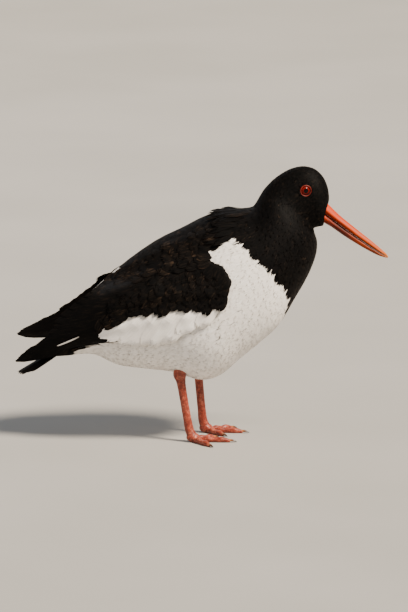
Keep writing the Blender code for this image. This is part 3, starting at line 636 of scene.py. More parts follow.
class SideSheet(Sheet):
    """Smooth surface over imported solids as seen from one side, by x and z."""

    cell, blur = 2.0, 7
    across, upward = (-190.0, 70.0), (40.0, 226.0)
    shoulder, reach, power = (28.0, 150.0), 200.0, 1.6
    outside = 200.0

    def __init__(
        self, place: "Placing", nodes: Sequence, side: Side, turn: float, shift: float
    ) -> None:
        """Measure the solids and smooth what was found.

        Args:
            place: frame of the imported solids.
            nodes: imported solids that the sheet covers.
            side: side of the bird.
            turn: angle in degrees by which the far end is bent up.
            shift: distance by which it is moved forward.
        """
        self.side, self.turn, self.shift = side, math.radians(turn), shift
        self.facing = -side.value
        trees = [place.tree_of(node) for node in nodes]
        xs = np.arange(*self.across, self.cell)
        zs = np.arange(*self.upward, self.cell)
        heights = np.full((len(xs), len(zs)), np.nan)
        for i, x in enumerate(xs):
            for k, z in enumerate(zs):
                found = [self.height(place, tree, x, z) for tree in trees]
                found = [value for value in found if value is not None]
                if found:
                    heights[i, k] = max(found)
        self.heights = self.smoothed(heights)

    def height(self, place: "Placing", tree: BVHTree, x: float, z: float) -> float | None:
        """Distance from the middle plane to the outside of one solid.

        Args:
            place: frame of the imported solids.
            tree: search tree over the solid.
            x: place forward.
            z: height.

        Returns:
            The distance in millimetres, or None where the solid isn't met.
        """
        start = place.world((x, self.outside * self.side.value, z))
        hit = tree.ray_cast(start, Vector((0, -self.side.value, 0)))[0]
        return abs(hit.y) / MM if hit else None

    def smoothed(self, heights: np.ndarray) -> np.ndarray:
        """Fill the places that no solid covers from their neighbours, and blur the steps.

        Args:
            heights: distances on the grid, not a number where no solid is.

        Returns:
            The filled and blurred distances.
        """
        empty = np.isnan(heights)
        filled = np.where(empty, 0.0, heights)
        known = np.where(empty, 0.0, 1.0)
        while known.min() == 0:
            total, count = self.around(filled * known), self.around(known)
            fresh = (known == 0) & (count > 0)
            filled[fresh] = total[fresh] / count[fresh]
            known[fresh] = 1.0
        # Each cell becomes half itself and half the mean of its four neighbours.
        for _ in range(self.blur):
            filled = self.around(filled) / 8 + filled / 2
        return filled

    @staticmethod
    def around(values: np.ndarray) -> np.ndarray:
        """Sum of the four neighbours of each cell."""
        wide = np.pad(values, 1, mode="edge")
        return wide[:-2, 1:-1] + wide[2:, 1:-1] + wide[1:-1, :-2] + wide[1:-1, 2:]

    def bent(self, u: np.ndarray, v: np.ndarray) -> tuple:
        """Place of a point of the near wing on this wing, bent up and shifted at its end.

        Args:
            u: places forward on the near wing.
            v: heights on the near wing.

        Returns:
            Places forward and heights on this wing.
        """
        du, dv = u - self.shoulder[0], v - self.shoulder[1]
        share = np.clip(-du / self.reach, 0, 1) ** self.power
        turn = self.turn * share
        x = self.shoulder[0] + du * np.cos(turn) - dv * np.sin(turn) + self.shift * share
        return x, self.shoulder[1] + du * np.sin(turn) + dv * np.cos(turn)

    def point(self, u: np.ndarray, v: np.ndarray) -> np.ndarray:
        """Points of the sheet.

        Args:
            u: places forward.
            v: heights.

        Returns:
            The points, in millimetres.
        """
        x, z = self.bent(u, v)
        rows, columns = self.heights.shape
        a = np.clip((x - self.across[0]) / self.cell, 0, rows - 1.001)
        b = np.clip((z - self.upward[0]) / self.cell, 0, columns - 1.001)
        i, k = a.astype(int), b.astype(int)
        a, b = a - i, b - k
        near = self.heights[i, k] * (1 - b) + self.heights[i, k + 1] * b
        far = self.heights[i + 1, k] * (1 - b) + self.heights[i + 1, k + 1] * b
        return np.stack([x, (near * (1 - a) + far * a) * self.side.value, z], axis=-1)

    def bake_place(self, u: np.ndarray, v: np.ndarray) -> np.ndarray:
        """Place in the side view across the unwrap."""
        wide = self.across[1] - self.across[0]
        return np.stack([0.02 + 0.96 * (u - self.across[0]) / wide,
                         0.02 + 0.96 * (v - self.upward[0]) / wide], axis=-1)


class TailSheet(Sheet):
    """Roof-shaped sheet of one half of the tail, by distance back and sideways."""

    root = np.array((-112.0, 0.0, 97.5))
    slope, roof = math.radians(31.0), 0.008
    bake_scale = 0.01

    def __init__(self, side: Side) -> None:
        """Keep the side and the way its outer face looks."""
        self.side = side
        self.facing = side.value * -1.0

    def point(self, u: np.ndarray, v: np.ndarray) -> np.ndarray:
        """Points of the sheet.

        Args:
            u: distances back from the root.
            v: distances from the middle.

        Returns:
            The points, in millimetres.
        """
        back = np.array((-math.cos(self.slope), 0.0, -math.sin(self.slope)))
        up = np.array((-math.sin(self.slope), 0.0, math.cos(self.slope)))
        middle = self.root + u[..., None] * back - (self.roof * v * v)[..., None] * up
        return middle + v[..., None] * np.array((0.0, self.side.value, 0.0))

    def bake_place(self, u: np.ndarray, v: np.ndarray) -> np.ndarray:
        """Distance back and sideways across the unwrap."""
        across = 0.5 + self.bake_scale * v * self.side.value
        return np.stack([across, 0.05 + self.bake_scale * u], axis=-1)


@dataclass(frozen=True)
class FeatherStyle:
    """Outline and relief of one kind of feather, in shares of its length and half width."""

    rows: int = 5
    columns: int = 5
    root_width: float = 0.5
    round_from: float = 0.5
    tip_width: float = 0.4
    ragged: float = 0.12
    camber: float = 0.05
    tilt: float = 0.03
    thickness: float = 0.1
    rise: float = 0.35
    shaft: float = 0.0
    uneven: float = 0.08
    tone_shape: tuple = (2.0, 4.5)
    widest_from: float = 0.35
    widening: float = 0.7

    def half_width(self, s: np.ndarray) -> np.ndarray:
        """Half width along the feather, in shares of the greatest.

        Args:
            s: shares of the length.

        Returns:
            Shares of the greatest half width.
        """
        opened = np.clip(s / self.widest_from, 0, 1) ** self.widening
        base = self.root_width + (1 - self.root_width) * opened
        past = np.clip((s - self.round_from) / (1 - self.round_from), 0, 1)
        return base * (self.tip_width + (1 - self.tip_width) * np.sqrt(1 - past**2 * 0.999))


class Placing:
    """Moves the bird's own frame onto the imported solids."""

    def __init__(self) -> None:
        """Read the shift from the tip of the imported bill."""
        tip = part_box("bill_upper")[1].x / MM
        self.shift = np.array((tip - BILL_SECTIONS[-1, 0], 0.0, 0.0))

    def metres(self, points: np.ndarray) -> np.ndarray:
        """Points in the row frame, in metres."""
        return (points + self.shift) * MM

    def world(self, point: Sequence) -> Vector:
        """One point in the row frame, in metres."""
        return Vector(self.metres(np.array(point, float)))

    def tree_of(self, node: bpy.types.Object) -> BVHTree:
        """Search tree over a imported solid."""
        mesh = node.data
        return BVHTree.FromPolygons(
            [vert.co.copy() for vert in mesh.vertices], [tuple(f.vertices) for f in mesh.polygons]
        )

    def mesh_object(
        self, name: str, points: np.ndarray, faces: np.ndarray | Sequence,
        finish: bpy.types.Material, attributes: dict | None = None, maps: dict | None = None,
    ) -> bpy.types.Object:
        """Make a smooth object from points in millimetres.

        Args:
            name: name of the piece.
            points: its points.
            faces: corner numbers of each face.
            finish: its material.
            attributes: numbers at each point, by name.
            maps: flat places of each point, by name of the map.

        Returns:
            The new object, riding on the body.
        """
        mesh = bpy.data.meshes.new(name)
        listed = faces.tolist() if isinstance(faces, np.ndarray) else faces
        mesh.from_pydata(self.metres(points).tolist(), [], listed)
        corners = np.empty(len(mesh.loops), np.int32)
        mesh.loops.foreach_get("vertex_index", corners)
        for key, values in (maps or {}).items():
            layer = mesh.uv_layers.new(name=key)
            layer.data.foreach_set("uv", values[corners].astype(np.float32).ravel())
        for key, values in (attributes or {}).items():
            layer = mesh.attributes.new(key, "FLOAT", "POINT")
            layer.data.foreach_set("value", np.asarray(values, np.float32).ravel())
        mesh.shade_smooth()
        mesh.materials.append(finish)
        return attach(add_object(name, mesh), BODY)


class Plumage:
    """Many feathers gathered into one mesh.

    Attributes:
        row_power: below one, the cross rows of a feather lie closer towards its tip.
        long_jag: least depth of the deep notches in a tip, as a share of its raggedness.
        short_jag: greatest depth of the shallow notches between them.
        patch_fill: half width of a feather's patch on the bake map, in shares of its cell.
    """

    row_power, long_jag, short_jag, patch_fill = 0.85, 0.4, 0.45, 0.45

    def __init__(self, name: str, seed: int, softness: float = 0.0) -> None:
        """Start with no feathers.

        Args:
            name: name of the piece.
            seed: start of the random draws.
            softness: how far the shading follows the sheet, from 0 to 1.
        """
        self.name, self.softness = name, softness
        self.draw = np.random.RandomState(seed)
        self.points, self.faces, self.maps, self.barbs, self.outs = [], [], [], [], []
        self.pale, self.tone, self.along, self.rims = [], [], [], []
        self.count = 0

    def add(
        self, sheet: Sheet, roots: tuple, toward: np.ndarray, length: np.ndarray,
        width: np.ndarray, lifts: tuple, style: FeatherStyle, pale: np.ndarray,
        tone: np.ndarray | None = None, own_cells: bool = False, ends: tuple | None = None,
    ) -> None:
        """Lay feathers on a sheet.

        Args:
            sheet: surface that they follow.
            roots: sheet coordinates of their roots.
            toward: unit directions in space in which they point.
            length: their lengths.
            width: their widths.
            lifts: heights of root and tip over the sheet, each a number or one for each.
            style: their outline and relief.
            pale: 1 where a feather is white, 0 where it is black.
            tone: lightness within its colour from 0 to 1, drawn at random if left out.
            own_cells: give each feather its own cell of the bake map.
            ends: sheet coordinates of their tips, where they are to be met exactly.
        """
        count = len(length)
        if not count:
            return
        s = np.linspace(0, 1, style.rows) ** self.row_power
        t = np.linspace(-1, 1, style.columns)
        grid_s, grid_t = (g.ravel() for g in np.meshgrid(s, t, indexing="ij"))
        jags = self.draw.uniform(0, 1, (count, style.columns))
        jags[:, 1::2] = self.long_jag + (1 - self.long_jag) * jags[:, 1::2]
        jags[:, 0::2] *= self.short_jag
        column = np.tile(np.arange(style.columns), style.rows)
        stretch = 1 - style.ragged * grid_s * jags[:, column]
        ahead = length[:, None] * grid_s * stretch
        half = width[:, None] / 2
        beside = half * style.half_width(grid_s) * grid_t
        spot, along, across, normal = sheet.frames(*roots)
        toward = unit(toward - normal * np.sum(toward * normal, axis=-1, keepdims=True))
        side = np.cross(normal, toward)
        forward, aside = ahead[..., None] * toward[:, None], beside[..., None] * side[:, None]
        part = self.steps(along, across, toward[:, None] * length[:, None, None] / 2)
        _, far_along, far_across, _ = sheet.frames(*(r + p[:, 0] for r, p in zip(roots, part)))
        tangents = (along + far_along) / 2, (across + far_across) / 2
        if ends is None:
            du, dv = self.steps(*tangents, forward + aside)
        else:
            du, dv = self.steps(*tangents, aside)
            share = ahead / length[:, None]
            du, dv = (d + share * (e - r)[:, None] for d, e, r in zip((du, dv), ends, roots))
        base, _, _, out = sheet.frames(roots[0][:, None] + du, roots[1][:, None] + dv)
        root_lift, tip_lift = (
            np.broadcast_to(np.asarray(lift, float), (count,))[:, None] for lift in lifts)
        turned = self.draw.choice((-1.0, 1.0), (count, 1))
        tilt = style.tilt * turned * self.draw.uniform(0.5, 1.5, (count, 1))
        height = root_lift + (tip_lift - root_lift) * grid_s**style.rise
        height = height + style.uneven * self.draw.uniform(-1, 1, (count, 1)) * grid_s
        height = height + half * (tilt * grid_t - style.camber * grid_t**2)
        height = height + style.shaft * (np.abs(grid_t) < 0.05) * (1 - grid_s) ** 0.5
        edge = (grid_t**2 > 0.999) | (grid_s < 1e-6) | (grid_s > 1 - 1e-6)
        inner = np.flatnonzero(~edge)
        top = base + out * height[..., None]
        low = (top - out * style.thickness)[:, inner]
        self.outs.append(np.concatenate([out, out[:, inner]], axis=1).reshape(-1, 3))
        self.store(sheet, roots, top, low, inner, style, grid_s, grid_t,
                   (length, width, pale, tone), own_cells)

    @staticmethod
    def steps(along: np.ndarray, across: np.ndarray, move: np.ndarray) -> tuple:
        """Work out the steps in sheet coordinates that make given moves in space.

        Args:
            along: change of the point with the first coordinate, for each feather.
            across: change of the point with the second coordinate, for each feather.
            move: moves in space of each feather's points.

        Returns:
            Steps of the first and of the second coordinate.
        """
        aa, ab, bb = (np.sum(p * q, -1)[:, None]
                      for p, q in ((along, along), (along, across), (across, across)))
        fall = np.maximum(aa * bb - ab * ab, 1e-9)
        ma = np.sum(move * along[:, None], -1)
        mb = np.sum(move * across[:, None], -1)
        return (ma * bb - mb * ab) / fall, (mb * aa - ma * ab) / fall

    def store(
        self, sheet: Sheet, roots: tuple, top: np.ndarray, low: np.ndarray, inner: np.ndarray,
        style: FeatherStyle, grid_s: np.ndarray, grid_t: np.ndarray, traits: tuple,
        own_cells: bool,
    ) -> None:
        """Keep the points, faces, maps and traits of laid feathers.

        Args:
            sheet: surface that they follow.
            roots: sheet coordinates of their roots.
            top: points of their upper faces.
            low: inner points of their lower faces.
            inner: numbers of the upper points that have a lower twin.
            style: their outline and relief.
            grid_s: share of the length at each upper point.
            grid_t: share of the half width at each upper point.
            traits: their lengths, widths, paleness and tone.
            own_cells: give each feather its own cell of the bake map.
        """
        length, width, pale, tone = traits
        count, each = len(length), len(grid_s)
        size = each + len(inner)
        all_s = np.concatenate([grid_s, grid_s[inner]])
        all_t = np.concatenate([grid_t, grid_t[inner]])
        twin = np.arange(each)
        twin[inner] = each + np.arange(len(inner))
        quads = []
        for i in range(style.rows - 1):
            for j in range(style.columns - 1):
                a, b = i * style.columns + j, (i + 1) * style.columns + j
                quads.append((a, b, b + 1, a + 1))
                quads.append((twin[a], twin[a + 1], twin[b + 1], twin[b]))
        starts = self.count + np.arange(count)[:, None, None] * size
        self.faces.append((np.array(quads)[None] + starts).reshape(-1, 4))
        self.points.append(np.concatenate([top, low], axis=1).reshape(-1, 3))
        if own_cells:
            cell = 1 / (count + 1)
            across = (np.arange(count)[:, None] + 0.5 + self.patch_fill * all_t) * cell
            flat = np.stack([across, np.broadcast_to(0.02 + 0.96 * all_s, across.shape)], axis=-1)
        else:
            flat = sheet.bake_place(*roots)[:, None] + np.stack(
                [all_t * PATCH * self.patch_fill, (all_s - 0.5) * PATCH], axis=-1)
        self.maps.append(flat.reshape(-1, 2))
        offsets = self.draw.uniform(0, 50, (count, 1))
        barbs = np.stack(
            [all_t * width[:, None] / 2 + offsets, all_s * length[:, None] + offsets], axis=-1)
        self.barbs.append(barbs.reshape(-1, 2))
        tone = self.draw.beta(*style.tone_shape, count) if tone is None else tone
        self.pale.append(np.repeat(np.broadcast_to(pale, (count,)), size))
        self.tone.append(np.repeat(np.broadcast_to(tone, (count,)), size))
        self.along.append(np.tile(all_s, count))
        # The rim, where the two faces of a feather meet, stays sharp.
        rim = np.arange(size) < each
        rim[inner] = False
        self.rims.append(np.tile(rim, count))
        self.count += count * size

    def soften(self, mesh: bpy.types.Mesh) -> None:
        """Shade loose feathers more as one soft surface, as interlocked barbs scatter light.

        Args:
            mesh: the finished feathers.
        """
        corners = np.empty(len(mesh.loops), np.int32)
        mesh.loops.foreach_get("vertex_index", corners)
        flat = np.empty(len(mesh.polygons) * 3, np.float32)
        mesh.polygons.foreach_get("normal", flat)
        own = np.repeat(flat.reshape(-1, 3), 4, axis=0)
        shared = faced(np.concatenate(self.outs)[corners], len(mesh.polygons))
        mixed = unit(shared * self.softness + own * (1 - self.softness))
        mesh.normals_split_custom_set(mixed.astype(np.float32))

    def build(self, place: Placing, finish: bpy.types.Material) -> bpy.types.Object:
        """Make one object of all the feathers.

        Args:
            place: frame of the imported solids.
            finish: their material.

        Returns:
            The feathers as one piece.
        """
        join = np.concatenate
        made = place.mesh_object(
            self.name, join(self.points), join(self.faces), finish,
            {"pale": join(self.pale), "tone": join(self.tone), "along": join(self.along)},
            {BAKE_MAP: join(self.maps), BARB_MAP: join(self.barbs)},
        )
        ends = np.empty(len(made.data.edges) * 2, np.int32)
        made.data.edges.foreach_get("vertices", ends)
        sharp = join(self.rims)[ends].reshape(-1, 2).all(axis=1)
        made.data.attributes.new("sharp_edge", "BOOLEAN", "EDGE").data.foreach_set("value", sharp)
        if self.softness:
            self.soften(made.data)
        return made


def faced(values: np.ndarray, faces: int) -> np.ndarray:
    """Turn normals round on every second face, which is the lower one of a feather's pair."""
    return values * np.tile(np.repeat((1.0, -1.0), 4), faces // 2)[:, None]


class Markings:
    """Where the coat is white: breast side, belly, flanks and rump."""

    breast_sum = 226.0
    front_drop, front_width = 42.0, 22.0
    rump_x, tail_x = -76.0, -118.0
    front_wander, flank_wander = 1.5, 0.9
    long_wave, short_wave = (0.55, 0.0, 0.31), (-0.27, 0.2, 0.83)
    back_line = ((-150.0, 84.0), (-110.0, 112.0), (-83.0, 140.0), (-42.0, 157.0), (-16.0, 167.0),
                 (8.0, 181.0), (14.0, 187.0), (22.0, 191.0), (30.0, 193.5), (40.0, 194.0))

    def pale(self, points: np.ndarray) -> np.ndarray:
        """Tell which points of the coat are white.

        Args:
            points: places on the body, in millimetres.

        Returns:
            1 where white and 0 where black.
        """
        x, y, z = points[..., 0], points[..., 1], points[..., 2]
        waves = np.sin(points @ self.long_wave) + np.sin(points @ self.short_wave)
        front = self.front_drop * np.exp(-((y / self.front_width) ** 2))
        behind = x + z < self.breast_sum - front + self.front_wander * waves
        places, heights = zip(*self.back_line)
        below = z < np.interp(x, places, heights) + self.flank_wander * waves
        white = (behind & below) | (x < self.rump_x)
        return (white & (x > self.tail_x + waves)).astype(float)


def thinned(points: np.ndarray, spacing: np.ndarray) -> np.ndarray:
    """Choose points that keep a distance from one another.

    Args:
        points: candidates in random order.
        spacing: least distance for each of them.

    Returns:
        Numbers of the chosen points.
    """
    homes = np.floor(points / float(spacing.max())).astype(int)
    around = [(i, j, k) for i in (-1, 0, 1) for j in (-1, 0, 1) for k in (-1, 0, 1)]
    grid: dict = {}
    chosen = []
    for n, (spot, home, least) in enumerate(zip(points.tolist(), homes.tolist(), spacing.tolist())):
        x, y, z = spot
        near = (item for i, j, k in around
                for item in grid.get((home[0] + i, home[1] + j, home[2] + k), ()))
        if all((a - x) ** 2 + (b - y) ** 2 + (c - z) ** 2 >= least * least for a, b, c in near):
            grid.setdefault(tuple(home), []).append(spot)
            chosen.append(n)
    return np.array(chosen)


BODY_STYLE = FeatherStyle(
    columns=7, ragged=0.3, tip_width=0.45, thickness=0.06, rise=0.14, uneven=0.02, tilt=0.01,
    camber=0.02)
COAT_STYLES = {
    Region.NECK: FeatherStyle(
        ragged=0.35, tip_width=0.45, thickness=0.06, rise=0.16, uneven=0.03, tone_shape=(3.0, 9.0)),
    Region.HEAD: FeatherStyle(
        rows=4, columns=4, ragged=0.35, thickness=0.05, rise=0.2, uneven=0.03,
        tone_shape=(3.0, 9.0)),
}


def tube_faces(rows: int, sides: int) -> list:
    """Join rings of points into a closed tube, its two ends last.

    Args:
        rows: number of rings.
        sides: points of each ring.

    Returns:
        Corner numbers of each face, with both ends closed.
    """
    faces = []
    for i in range(rows - 1):
        for j in range(sides):
            k = (j + 1) % sides
            a, b = i * sides, (i + 1) * sides
            faces.append((a + j, a + k, b + k, b + j))
    faces.append(tuple(range(sides - 1, -1, -1)))
    faces.append(tuple(range((rows - 1) * sides, rows * sides)))
    return faces


@dataclass
class BodyCoat:
    """Skin of head, neck, body and tail root, and the small feathers that cover it."""

    place: Placing
    plumage: bpy.types.Material
    skin_material: bpy.types.Material
    skin_steps: int = 8
    skin_sides: int = 96
    skin_depth: tuple = ((0.0, 2.4), (11.0, 2.2), (15.0, 1.3), (24.0, 0.9))
    tries: int = 60000
    softness: float = 0.85
    swing: float = 0.1
    length_share: float = 4.8
    length_spread: tuple = (0.85, 1.15)
    width_share: float = 2.2
    width_spread: tuple = (0.9, 1.1)
    white_width: float = 0.8
    marked_at: float = 0.75
    shortest: float = 0.9
    root_depth: float = 0.9
    tip_lift: float = 0.15
    mantle_count: int = 52
    mantle_stations: tuple = (8.6, 9.9)
    mantle_angle: float = 0.72
    mantle_swing: float = 0.16
    mantle_slant: float = 0.9
    mantle_lengths: tuple = (19.0, 29.0)
    mantle_widths: tuple = (5.0, 8.0)
    mantle_lifts: tuple = (-1.0, 3.2)
    mantle_style: FeatherStyle = FeatherStyle(
        rows=8, columns=5, round_from=0.25, tip_width=0.05, ragged=0.3, rise=0.8, uneven=0.5)
    eye_clear: float = 5.7
    eye_level: float = 0.85
    quill_side: float = 9.0
    quill_height: float = 24.0
    quill_line: tuple = ((-150.0, 78.0), (-115.0, 85.6), (-79.0, 96.6), (-66.0, 101.0))
    sheet: BodySheet = field(default_factory=BodySheet)
    markings: Markings = field(default_factory=Markings)

    def depth(self, u: np.ndarray) -> np.ndarray:
        """Depth of the coat at a station."""
        places, depths = zip(*self.skin_depth)
        return np.interp(u, places, depths)

    def build_skin(self) -> bpy.types.Object:
        """Build the one skin that stands for head, neck, torso and tail root.

        Returns:
            The skin.
        """
        count = int(LAST_STATION) * self.skin_steps + 1
        u = np.repeat(np.linspace(0, LAST_STATION, count), self.skin_sides)
        v = np.tile(np.arange(self.skin_sides) * 2 * math.pi / self.skin_sides, count)
        points, _, _, normal = self.sheet.frames(u, v)
        points = points - normal * self.depth(u)[:, None]
        # The stations run against the turn round them, so each face is wound the other way.
        faces = [face[:1] + face[:0:-1] for face in tube_faces(count, self.skin_sides)[:-2]]
        faces.append(tuple(range(self.skin_sides)))
        faces.append(tuple(range(len(points) - 1, len(points) - self.skin_sides - 1, -1)))
        made = self.place.mesh_object(
            "skin", points, faces, self.skin_material, {"pale": self.markings.pale(points)},
            {BAKE_MAP: self.sheet.bake_place(u, v)},
        )
        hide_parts(*FLESH_NODES)
        return made

    def build_coat(self, region: Region, seed: int) -> bpy.types.Object:
        """Cover one region of the body with feathers.

        Args:
            region: stretch of the body.
            seed: start of the random draws.

        Returns:
            The coat of that stretch.
        """
        coat = Plumage("coat_" + region.name.lower(), seed, self.softness)
        u = coat.draw.uniform(region.stations[0], region.stations[-1], self.tries)
        v = coat.draw.uniform(-math.pi, math.pi, self.tries)
        spot, along, across, normal = self.sheet.frames(u, v)
        area = np.linalg.norm(np.cross(along, across), axis=-1)
        kept = coat.draw.uniform(0, 1, self.tries) < area / np.percentile(area, 97)
        u, v, spot, along, normal = (item[kept] for item in (u, v, spot, along, normal))
        gaps = np.interp(u, region.stations, region.spacings)
        chosen = thinned(spot, gaps)
        u, v, spot, along, normal, gaps = (
            item[chosen] for item in (u, v, spot, along, normal, gaps))
        toward = -unit(along)
        swing = coat.draw.normal(0, self.swing, len(u))[:, None]
        toward = unit(toward + np.cross(normal, toward) * swing)
        length = gaps * self.length_share * coat.draw.uniform(*self.length_spread, len(u))
        width = gaps * self.width_share * coat.draw.uniform(*self.width_spread, len(u))
        length = self.clear_of_eyes(spot, toward, length)
        pale = self.markings.pale(spot + toward * length[:, None] * self.marked_at)
        width = width * np.where(pale > 0.5, self.white_width, 1.0)
        middle = spot + toward * length[:, None] / 2
        keep = (length > gaps * self.shortest) & ~self.under_quills(middle)
        lifts = (-self.depth(u)[keep] * self.root_depth, np.full(keep.sum(), self.tip_lift))
        coat.add(self.sheet, (u[keep], v[keep]), toward[keep], length[keep], width[keep],
                 lifts, COAT_STYLES.get(region, BODY_STYLE), pale[keep])
        return coat.build(self.place, self.plumage)

    def build_mantle(self, seed: int) -> bpy.types.Object:
        """Build the longer loose feathers whose pointed tips end the mantle.

        Args:
            seed: start of the random draws.

        Returns:
            The tips, as one piece.
        """
        mantle = Plumage("mantle_tips", seed, 0.5)
        count = self.mantle_count
        v = np.linspace(-self.mantle_angle, self.mantle_angle, count)
        v = v + mantle.draw.normal(0, 0.04, count)
        u = mantle.draw.uniform(*self.mantle_stations, count) - self.mantle_slant * np.abs(v)
        _, along, _, normal = self.sheet.frames(u, v)
        swing = mantle.draw.normal(0, self.mantle_swing, count)[:, None]
        toward = unit(-unit(along) + np.cross(normal, -unit(along)) * swing)
        mantle.add(self.sheet, (u, v), toward, mantle.draw.uniform(*self.mantle_lengths, count),
                   mantle.draw.uniform(*self.mantle_widths, count), self.mantle_lifts,
                   self.mantle_style, np.zeros(count))
        return mantle.build(self.place, self.plumage)

    def under_quills(self, spot: np.ndarray) -> np.ndarray:
        """Tell which feathers would lie over the folded flight feathers that cover them.

        Args:
            spot: middles of the feathers.

        Returns:
            True for each covered feather.
        """
        x, y, z = spot[:, 0], np.abs(spot[:, 1]), spot[:, 2]
        lowest = np.interp(x, *zip(*self.quill_line))
        inside = (x > self.quill_line[0][0]) & (x < self.quill_line[-1][0])
        covered = (z > lowest) & (z < lowest + self.quill_height)
        return inside & (y > self.quill_side) & covered

    def clear_of_eyes(self, spot: np.ndarray, toward: np.ndarray, length: np.ndarray) -> np.ndarray:
        """Shorten feathers that would lie over an eye, and drop those rooted in it.

        Args:
            spot: roots of the feathers.
            toward: their unit directions.
            length: their lengths.

        Returns:
            Their lengths clear of the eyes.
        """
        for side in Side:
            outward = eye_axis(side)
            centre = EYE_CENTRE * (1, side.value, 1) + outward * EYE_RADIUS * self.eye_level
            gap = centre - spot
            ahead = np.sum(gap * toward, -1)
            beside = np.sqrt(np.maximum(np.sum(gap * gap, -1) - ahead**2, 0))
            inside = np.sqrt(np.maximum(self.eye_clear**2 - beside**2, 0))
            meets = (beside < self.eye_clear) & (ahead > -inside)
            length = np.where(meets, np.minimum(length, np.maximum(ahead - inside, 0)), length)
        return length


def eye_axis(side: Side) -> np.ndarray:
    """Unit direction in which an eye looks."""
    turn = math.radians(EYE_FORWARD_DEGREES)
    return np.array((math.sin(turn), math.cos(turn) * side.value, 0.0))


@dataclass(frozen=True)
class FeatherRow:
    """Row of feathers along two lines on a sheet."""

    count: int
    roots: Sequence
    tips: Sequence
    width: float
    lifts: tuple
    step: float = 0.0
    pale: float = 0.0
    tone: float | None = None
    uneven_length: float = 0.04
    stray: float = 0.0
    stagger: float = 0.0

    def lay(
        self, feathers: Plumage, sheet: Sheet, style: FeatherStyle, cells: bool = False
    ) -> None:
        """Lay the row on a sheet.

        Args:
            feathers: plumage that takes the row.
            sheet: surface that it follows.
            style: outline and relief of its feathers.
            cells: give each feather its own cell of the bake map.
        """
        shares = (np.arange(self.count) + self.stagger) / max(self.count - 1, 1)
        shares = np.clip(shares + feathers.draw.normal(0, self.stray / 60, self.count), 0, 1)
        roots, tips = smooth_line(self.roots, shares), smooth_line(self.tips, shares)
        tips = tips + feathers.draw.normal(0, 1, tips.shape) * self.stray
        _, along, across, _ = sheet.frames(roots[:, 0], roots[:, 1])
        way = tips - roots
        step = along * way[:, :1] + across * way[:, 1:]
        length = np.hypot(way[:, 0], way[:, 1])
        length = length * (1 - self.uneven_length * feathers.draw.uniform(0, 1, self.count))
        rise = self.step * np.arange(self.count)
        lifts = (self.lifts[0] + rise, self.lifts[1] + rise)
        tone = None if self.tone is None else np.full(self.count, self.tone)
        tips = roots + way * (length / np.hypot(way[:, 0], way[:, 1]))[:, None]
        feathers.add(sheet, (roots[:, 0], roots[:, 1]), unit(step), length,
                     np.full(self.count, self.width), lifts, style,
                     np.full(self.count, self.pale), tone, cells, (tips[:, 0], tips[:, 1]))


# The left wing lies a little higher at its end: turn in degrees and shift forward there.
WING_BENDS = {Side.RIGHT: (0.0, 0.0), Side.LEFT: (-7.0, 9.0)}
TERTIALS = {
    Side.RIGHT: FeatherRow(
        9, ((-44.0, 126.0), (-41.0, 146.0), (-40.0, 156.0)),
        ((-146.0, 98.0), (-138.0, 111.0), (-123.0, 127.0), (-103.0, 141.5)),
        14.0, (-4.0, -0.8), 0.28, tone=0.35),
    Side.LEFT: FeatherRow(
        9, ((-44.0, 122.0), (-41.0, 141.0), (-40.0, 151.0)),
        ((-148.0, 91.0), (-138.0, 102.0), (-122.0, 116.0), (-103.0, 130.0)),
        14.0, (-4.0, -0.8), 0.28, tone=0.35),
}


